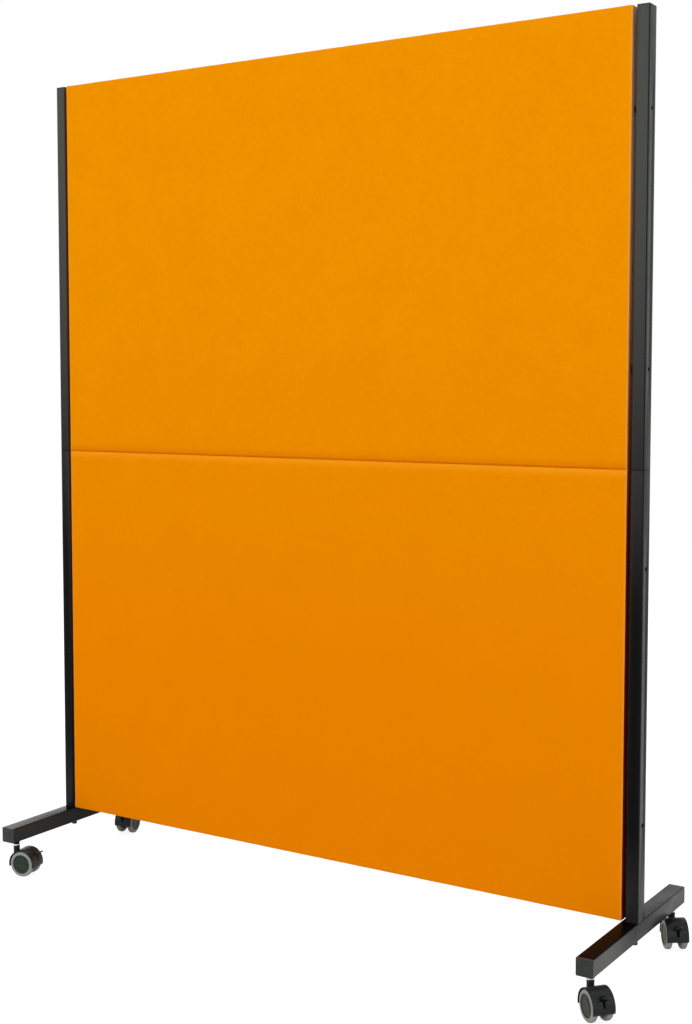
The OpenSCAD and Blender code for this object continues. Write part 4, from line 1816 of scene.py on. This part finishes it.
@dataclass
class BrakeLever(CastorPart):
    """The brake lever, raised: a tab with a rib below it, on a barrel round its pin."""

    reach: float = 36 * MM
    half: float = 6.7 * MM
    rise: float = 22.0
    thick: float = 3.2 * MM
    tip: float = 5 * MM
    tab_edge: float = 0.6 * MM
    rib_half: float = 2.5 * MM
    rib_depth: float = 3.5 * MM
    rib_deepest: float = 12 * MM
    rib_end: float = 30 * MM
    rib_edge: float = 0.5 * MM
    barrel_radius: float = 3.0 * MM
    barrel_half: float = 7.2 * MM
    pin_radius: float = 1.55 * MM

    def build(self) -> Shape:
        """Models the lever.

        Returns:
            The lever.
        """
        low = Vector((0, -self.half, -self.thick / 2))
        tab = Shape.box("brake_lever", low, Vector((self.reach, self.half, self.thick / 2)))
        tab.bevel(self.tip, 6, lambda e: along(e, Z_AXIS) and e.verts[0].co.x > TINY)
        tab.soften(self.tab_edge, segments=3, angle=45)
        tab.unite(self._rib())
        tab.move(Matrix.Rotation(-math.radians(self.rise), 4, "Y"))
        length = 2 * self.barrel_half
        start = -Y_AXIS * self.barrel_half
        barrel = Shape.bar("brake_lever_barrel", self.barrel_radius, start, length, Axis.Y)
        tab.unite(barrel.soften(self.edge, segments=2, angle=60))
        tab.cut(Shape.bar("pin_hole", self.pin_radius, 2 * start, 2 * length, Axis.Y, 32))
        tab.move(Matrix.Translation(self.pivot))
        return tab.smooth()

    def _rib(self) -> Shape:
        """The rib under the tab, deepest near the barrel and running out towards the tip.

        Returns:
            The rib.
        """
        depth = self.thick / 2 + self.rib_depth
        low = Vector((0, -self.rib_half, -depth))
        rib = Shape.box("brake_lever_rib", low, Vector((self.rib_end, self.rib_half, 0)))
        slope = Vector((depth, 0, self.rib_deepest - self.rib_end))
        rib.trim(X_AXIS * self.rib_end, slope.normalized())
        rib.trim(ORIGIN, Vector((-depth, 0, -self.rib_deepest)).normalized())
        return rib.soften(self.rib_edge, segments=2, angle=30)


@dataclass
class Wheel(CastorPart):
    """The wheel on the +Y side: a hub with a dished face, and a soft tread round it.

    The profiles of the face are in millimetres, as shifted takes them: the lip from the rim's
    inside and the wheel's outside, the groove from the rim's inside and the face, and the rings
    from the axle and the face.
    """

    inside: float = 11 * MM
    outside: float = 25 * MM
    hub_radius: float = 25.5 * MM
    bore: float = 4.05 * MM
    boss: float = 8 * MM
    rim_width: float = 3.5 * MM
    rim_inset: float = 1.0 * MM
    rim_edge: float = 0.3 * MM
    face_depth: float = 1.4 * MM
    face_wall: float = 2.5 * MM
    bore_cover: float = 2.2 * MM
    lip: Profile = ((1.2, -0.4), (0.6, -0.7))
    groove: Profile = ((-0.2, -0.5), (-1.4, -0.5), (-2.0, 0.0))
    rings: Profile = (
        (17.0, 0.1), (16.6, 0.4), (15.6, 0.4), (15.2, 0.1), (13.3, 0.1),
        (12.8, 0.7), (12.0, 0.75), (6.0, 0.4), (0.0, 0.3),
    )
    shoulder: float = 5 * MM
    foot_edge: float = 0.5 * MM
    mould_line_half: float = 0.35 * MM
    mould_line_depth: float = 0.25 * MM

    def hub(self) -> Shape:
        """Models the hub.

        Returns:
            The hub, with the dished face that shows from outside.
        """
        inside, outside, radius, fine = self.inside, self.outside, self.hub_radius, self.rim_edge
        rim = radius - self.rim_width
        low, high = inside + self.rim_inset, outside - self.edge
        face = outside - self.face_depth
        back = face - self.face_wall
        outline = [(self.bore, inside), (self.boss - self.edge, inside)]
        outline += [(self.boss, inside + self.edge), (self.boss, back)]
        outline += [(rim - self.edge, back), (rim, back - self.edge)]
        outline += [(rim, low + fine), (rim + fine, low), (radius - fine, low)]
        outline += [(radius, low + fine), (radius, high - fine), (radius - fine, high)]
        outline += shifted(self.lip, rim, outside)
        outline += shifted(self.groove, rim, face)
        outline += shifted(self.rings, 0.0, face)
        outline += [(0.0, outside - self.bore_cover), (self.bore, outside - self.bore_cover)]
        return Shape.turned("castor_hub", outline, self.axle, Axis.Y, True).smooth(28)

    def tread(self) -> Shape:
        """Models the tread.

        Returns:
            The soft ring, with round shoulders and the fine line of its mould.
        """
        inside, outside, shoulder, foot = self.inside, self.outside, self.shoulder, self.foot_edge
        radius, top, line = self.hub_radius, self.axle_height, self.mould_line_half
        middle = (inside + outside) / 2
        outline = [(radius, outside - foot), (radius + foot, outside)]
        outline += arc((top - shoulder, outside - shoulder), shoulder, 90, 0, 8)
        outline += [(top, middle + line), (top - self.mould_line_depth, middle)]
        outline += [(top, middle - line)]
        outline += arc((top - shoulder, inside + shoulder), shoulder, 0, -90, 8)
        outline += [(radius + foot, inside), (radius, inside + foot)]
        return Shape.turned("castor_tread", outline, self.axle, Axis.Y, True).smooth(35)


@dataclass
class Stem(CastorPart):
    """The stem: the pin in the neck, the bright collar and the thread in the bush."""

    pin_radius: float = 4.5 * MM
    pin_edge: float = 0.3 * MM
    collar_low: float = 77.5 * MM
    collar_radius: float = 8.75 * MM
    thread_radius: float = 5 * MM
    thread_pitch: float = 1.5 * MM
    thread_depth: float = 0.45 * MM
    tip_radius: float = 4.2 * MM
    end: float = 109 * MM

    def build(self) -> Shape:
        """Models the stem.

        Returns:
            The stem.
        """
        low, edge, pitch, crest = self.neck_low, self.edge, self.thread_pitch, self.thread_radius
        rim = self.collar_radius - edge
        outline = [(0.0, low), (self.pin_radius - self.pin_edge, low)]
        outline += [(self.pin_radius, low + self.pin_edge), (self.pin_radius, self.collar_low)]
        outline += arc((rim, self.collar_low + edge), edge, -90, 0, 3)
        outline += arc((rim, self.collar_top - edge), edge, 0, 90, 3)
        for i in range(int((self.end - self.collar_top) / pitch) - 1):
            base = self.collar_top + (i + 0.5) * pitch
            outline += [(crest - self.thread_depth, base), (crest, base + pitch / 2)]
        outline += [(self.tip_radius, self.end - edge), (0.0, self.end)]
        shape = Shape.turned("castor_stem", outline, ORIGIN, Axis.Z, False, ALL_ROUND_SMALL)
        return shape.smooth(30)


@dataclass
class Bush(CastorPart):
    """The threaded bush in the foot, with the flange that shows below it.

    The rim is in millimetres from the flange's widest place, under the foot.
    """

    bore: float = 5.1 * MM
    under: float = 92 * MM
    top: float = 112 * MM
    flange: float = 8.8 * MM
    taper: float = 0.9 * MM
    rounding: float = 0.5 * MM
    rim: Profile = ((-0.3, -0.8), (0.0, -0.4), (0.0, 0.0))
    body: float = 7.5 * MM

    def build(self) -> Shape:
        """Models the bush.

        Returns:
            The bush.
        """
        low, rounding, top = self.collar_top, self.rounding, self.top
        outline = [(self.bore, low)]
        outline += arc(
            (self.flange - self.taper - rounding, low + rounding), rounding, -90, 0, 3
        )
        outline += shifted(self.rim, self.flange, self.under)
        outline += [(self.body, self.under), (self.body, top - self.edge)]
        outline += [(self.body - self.edge, top), (self.bore, top)]
        shape = Shape.turned("castor_bush", outline, ORIGIN, Axis.Z, True, ALL_ROUND_SMALL)
        return shape.smooth(30)


class Castors:
    """The four castors: copies of one pattern, each turned as its joints say."""

    ENDS = ("front", "back")
    SIDES = ("left", "right")
    MICRON_DIGITS = 6

    def __init__(self, finishes: Finishes) -> None:
        """Finds the castors' places in the frame.

        Args:
            finishes: the object's finishes.
        """
        self.finishes = finishes
        self.joints = {joint["name"]: joint for joint in frame["joints"]}
        swivel, spin = self._joints_of("castor_front_left")
        gap = Vector(spin["pos_m"]) - Vector(swivel["pos_m"])
        gap.z = 0
        self.trail = round(gap.length, self.MICRON_DIGITS)
        self.axle_height = spin["pos_m"][2]

    def _joints_of(self, castor: str) -> tuple[dict, dict]:
        """The swivel joint of a castor and the joint of its inner wheel."""
        return self.joints[f"{castor}_swivel"], self.joints[f"{castor}_inner_wheel_spin"]

    def _place(self, castor: str) -> Matrix:
        """The turn and the move that take the pattern's frame to a castor's place.

        Args:
            castor: the castor's name.

        Returns:
            The move.
        """
        swivel, spin = self._joints_of(castor)
        heading = math.atan2(-spin["axis"][0], spin["axis"][1])
        stem = Vector((swivel["pos_m"][0], swivel["pos_m"][1], 0))
        return Matrix.Translation(stem) @ Matrix.Rotation(heading, 4, "Z")

    def _patterns(self) -> dict[str, tuple[Shape, Slot, str | None]]:
        """Models every piece of a castor once.

        Returns:
            Each piece's shape, its slot and the end of its body's name, by the piece's name.
        """
        sizes = (self.trail, self.axle_height)
        shapes = {
            "housing": (Housing(*sizes).build(), Slot.HOUSING, "housing"),
            "lever": (BrakeLever(*sizes).build(), Slot.HOUSING, "lever"),
            "stem": (Stem(*sizes).build(), Slot.ZINC, None),
            "bush": (Bush(*sizes).build(), Slot.POWDER_COAT, None),
        }
        wheel = Wheel(*sizes)
        over = Matrix.Translation(wheel.axle) @ Matrix.Rotation(math.pi, 4, "Z")
        over = over @ Matrix.Translation(-wheel.axle)
        outer = {"hub": (wheel.hub(), Slot.HUB), "tread": (wheel.tread(), Slot.TREAD)}
        for part, (shape, slot) in outer.items():
            shapes[f"outer_{part}"] = (shape, slot, "outer_wheel")
        for part, (shape, slot) in outer.items():
            inner = shape.copy(f"inner_{part}").move(over)
            shapes[f"inner_{part}"] = (inner, slot, "inner_wheel")
        return shapes

    def build(self) -> list[bpy.types.Object]:
        """Models the patterns and places every copy.

        Returns:
            All pieces of the four castors.
        """
        shapes = self._patterns()
        made = []
        for castor in (f"castor_{end}_{side}" for end in self.ENDS for side in self.SIDES):
            place = self._place(castor)
            for part, (shape, slot, body) in shapes.items():
                piece = shape.copy(f"{castor}_{part}_moulding").move(place)
                node = "castor_bushes" if part == "bush" else f"{castor}_{part}"
                rides = STATIC_BODY if body is None else f"{castor}_{body}"
                made.append(piece.finish(self.finishes, slot, rides, node))
        for shape, _, _ in shapes.values():
            shape.remove()
        return made


# ------------------------------------------------------------------ studio


@dataclass(frozen=True)
class Lamp:
    """A rectangular soft lamp: where it hangs, what it faces, its size and its watts."""

    name: str
    place: Place
    target: Place
    size: tuple[float, float]
    power: float

    def hang(self) -> None:
        """Hangs the lamp."""
        data = bpy.data.lights.new(self.name, "AREA")
        data.shape = "RECTANGLE"
        data.size, data.size_y = self.size
        data.energy = self.power
        lamp = bpy.data.objects.new(self.name, data)
        bpy.context.scene.collection.objects.link(lamp)
        lamp.location = self.place
        look = Vector(self.target) - Vector(self.place)
        lamp.rotation_euler = look.to_track_quat("-Z", "Y").to_euler()


@dataclass(frozen=True)
class Studio:
    """The plain pale floor, the soft light and the camera of the photograph."""

    camera_place: Place = (2.0588, -3.0803, 1.3321)
    camera_yaw: float = 32.821
    camera_pitch: float = -3.854
    focal_px: float = 1489.85
    image: tuple[int, int] = (692, 1024)
    horizon_px: float = 480.72
    sensor: float = 36.0
    view_end: float = 200.0
    floor_size: float = 60.0
    floor_glow: float = 0.875
    floor_seen: float = 0.30
    floor_lit: float = 0.62
    sky_light: float = 0.42
    lamps: tuple[Lamp, ...] = (
        Lamp("key", (-2.2, -5.2, 2.9), (0, 0, 1.0), (5.0, 3.6), 112.0),
        Lamp("fill", (3.8, -4.4, 2.6), (0, 0, 1.2), (3.0, 2.4), 68.0),
        Lamp("top", (0.4, -1.2, 6.0), (0, 0, 1.0), (4.0, 3.0), 85.0),
        Lamp("right", (5.0, -0.4, 2.0), (0, 0, 1.0), (1.6, 3.0), 25.0),
        Lamp("back", (-2.4, 4.4, 4.8), (0, 0, 1.0), (4.0, 3.0), 175.0),
        Lamp("rim", (-5.4, 4.4, 2.2), (0, 0, 0.8), (2.0, 2.0), 26.0),
    )

    def build(self) -> None:
        """Makes the camera, the floor, the world and the lamps."""
        bpy.context.scene.view_settings.view_transform = "Standard"
        self._camera()
        self._floor()
        self._world()
        for lamp in self.lamps:
            lamp.hang()

    def _camera(self) -> None:
        """Places the camera at the photograph's point of view."""
        data = bpy.data.cameras.new("camera")
        camera = bpy.data.objects.new("camera", data)
        bpy.context.scene.collection.objects.link(camera)
        camera.location = self.camera_place
        camera.rotation_euler = (
            math.radians(90 + self.camera_pitch), 0, math.radians(self.camera_yaw)
        )
        data.sensor_width = self.sensor
        data.lens = self.focal_px / self.image[1] * self.sensor
        data.shift_y = (self.horizon_px - self.image[1] / 2) / self.image[1]
        data.clip_end = self.view_end
        bpy.context.scene.camera = camera

    def _floor(self) -> None:
        """Lays the floor: white to the camera, with the object's soft shadow on it."""
        bpy.ops.object.select_all(action="DESELECT")
        bpy.ops.mesh.primitive_plane_add(size=self.floor_size, location=ORIGIN)
        floor = bpy.context.object
        floor.name = "studio_floor"
        tree = Tree.of_material("studio_floor")
        glow = tree.node("ShaderNodeEmission", {}, self._even(1.0, self.floor_glow))
        pale = tree.node("ShaderNodeBsdfDiffuse", {}, self._even(self.floor_seen))
        lit = tree.node("ShaderNodeAddShader", {}, {0: glow.outputs[0], 1: pale.outputs[0]})
        plain = tree.node("ShaderNodeBsdfDiffuse", {}, self._even(self.floor_lit))
        shaders = {0: tree.seen(), 1: plain.outputs[0], 2: lit.outputs[0]}
        mix = tree.node("ShaderNodeMixShader", {}, shaders)
        tree.node("ShaderNodeOutputMaterial", {}, {"Surface": mix.outputs[0]})
        floor.data.materials.append(tree.owner)
        floor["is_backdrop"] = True

    def _world(self) -> None:
        """Makes the world: white to the camera, and an even soft light for the rest."""
        world = bpy.data.worlds.new("studio_world")
        bpy.context.scene.world = world
        tree = Tree(world)
        soft = tree.node("ShaderNodeBackground", {}, self._even(1.0, self.sky_light))
        white = tree.node("ShaderNodeBackground", {}, self._even(1.0, 1.0))
        shaders = {0: tree.seen(), 1: soft.outputs[0], 2: white.outputs[0]}
        mix = tree.node("ShaderNodeMixShader", {}, shaders)
        tree.node("ShaderNodeOutputWorld", {}, {"Surface": mix.outputs[0]})

    @staticmethod
    def _even(grey: float, strength: float | None = None) -> dict[str, Any]:
        """The sockets of a shader in an even grey.

        Args:
            grey: the grey, from 0 to 1.
            strength: how strongly it shines, if it is a light.

        Returns:
            The value of each socket, by name.
        """
        colour = {"Color": (grey, grey, grey, 1.0)}
        return colour if strength is None else {**colour, "Strength": strength}


def write_sizes() -> None:
    """Works out the frame's box and the dressed object's box, as plain lists."""
    boxes = {"cad": CAD_BOX, "visual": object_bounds()}
    plain = {name: [list(corner) for corner in box] for name, box in boxes.items()}


def main() -> None:
    """Builds the studio and every sub-assembly, and reports each piece."""
    logging.basicConfig(level=logging.INFO, format="%(name)s: %(message)s")
    finishes = Finishes()
    finishes.dress_nodes()
    Studio().build()
    made: list[bpy.types.Object] = []
    for level, meeting_end in (("lower", 1), ("upper", -1)):
        name, node = f"upholstered_panel_{level}", f"panel_cover_{level}"
        made.append(UpholsteredPanel(name, node, meeting_end).build(finishes))
    for side in ("left", "right"):
        for level in ("lower", "upper"):
            made.append(Post(side, level).build(finishes))
        made += Foot(side).build(finishes)
        made.append(PostCap(side).build(finishes))
    made += Castors(finishes).build()
    for piece in made:
        LOG.info("%s: %d faces", piece.name, len(piece.data.polygons))
    write_sizes()


if __name__ == "__main__":
    main()
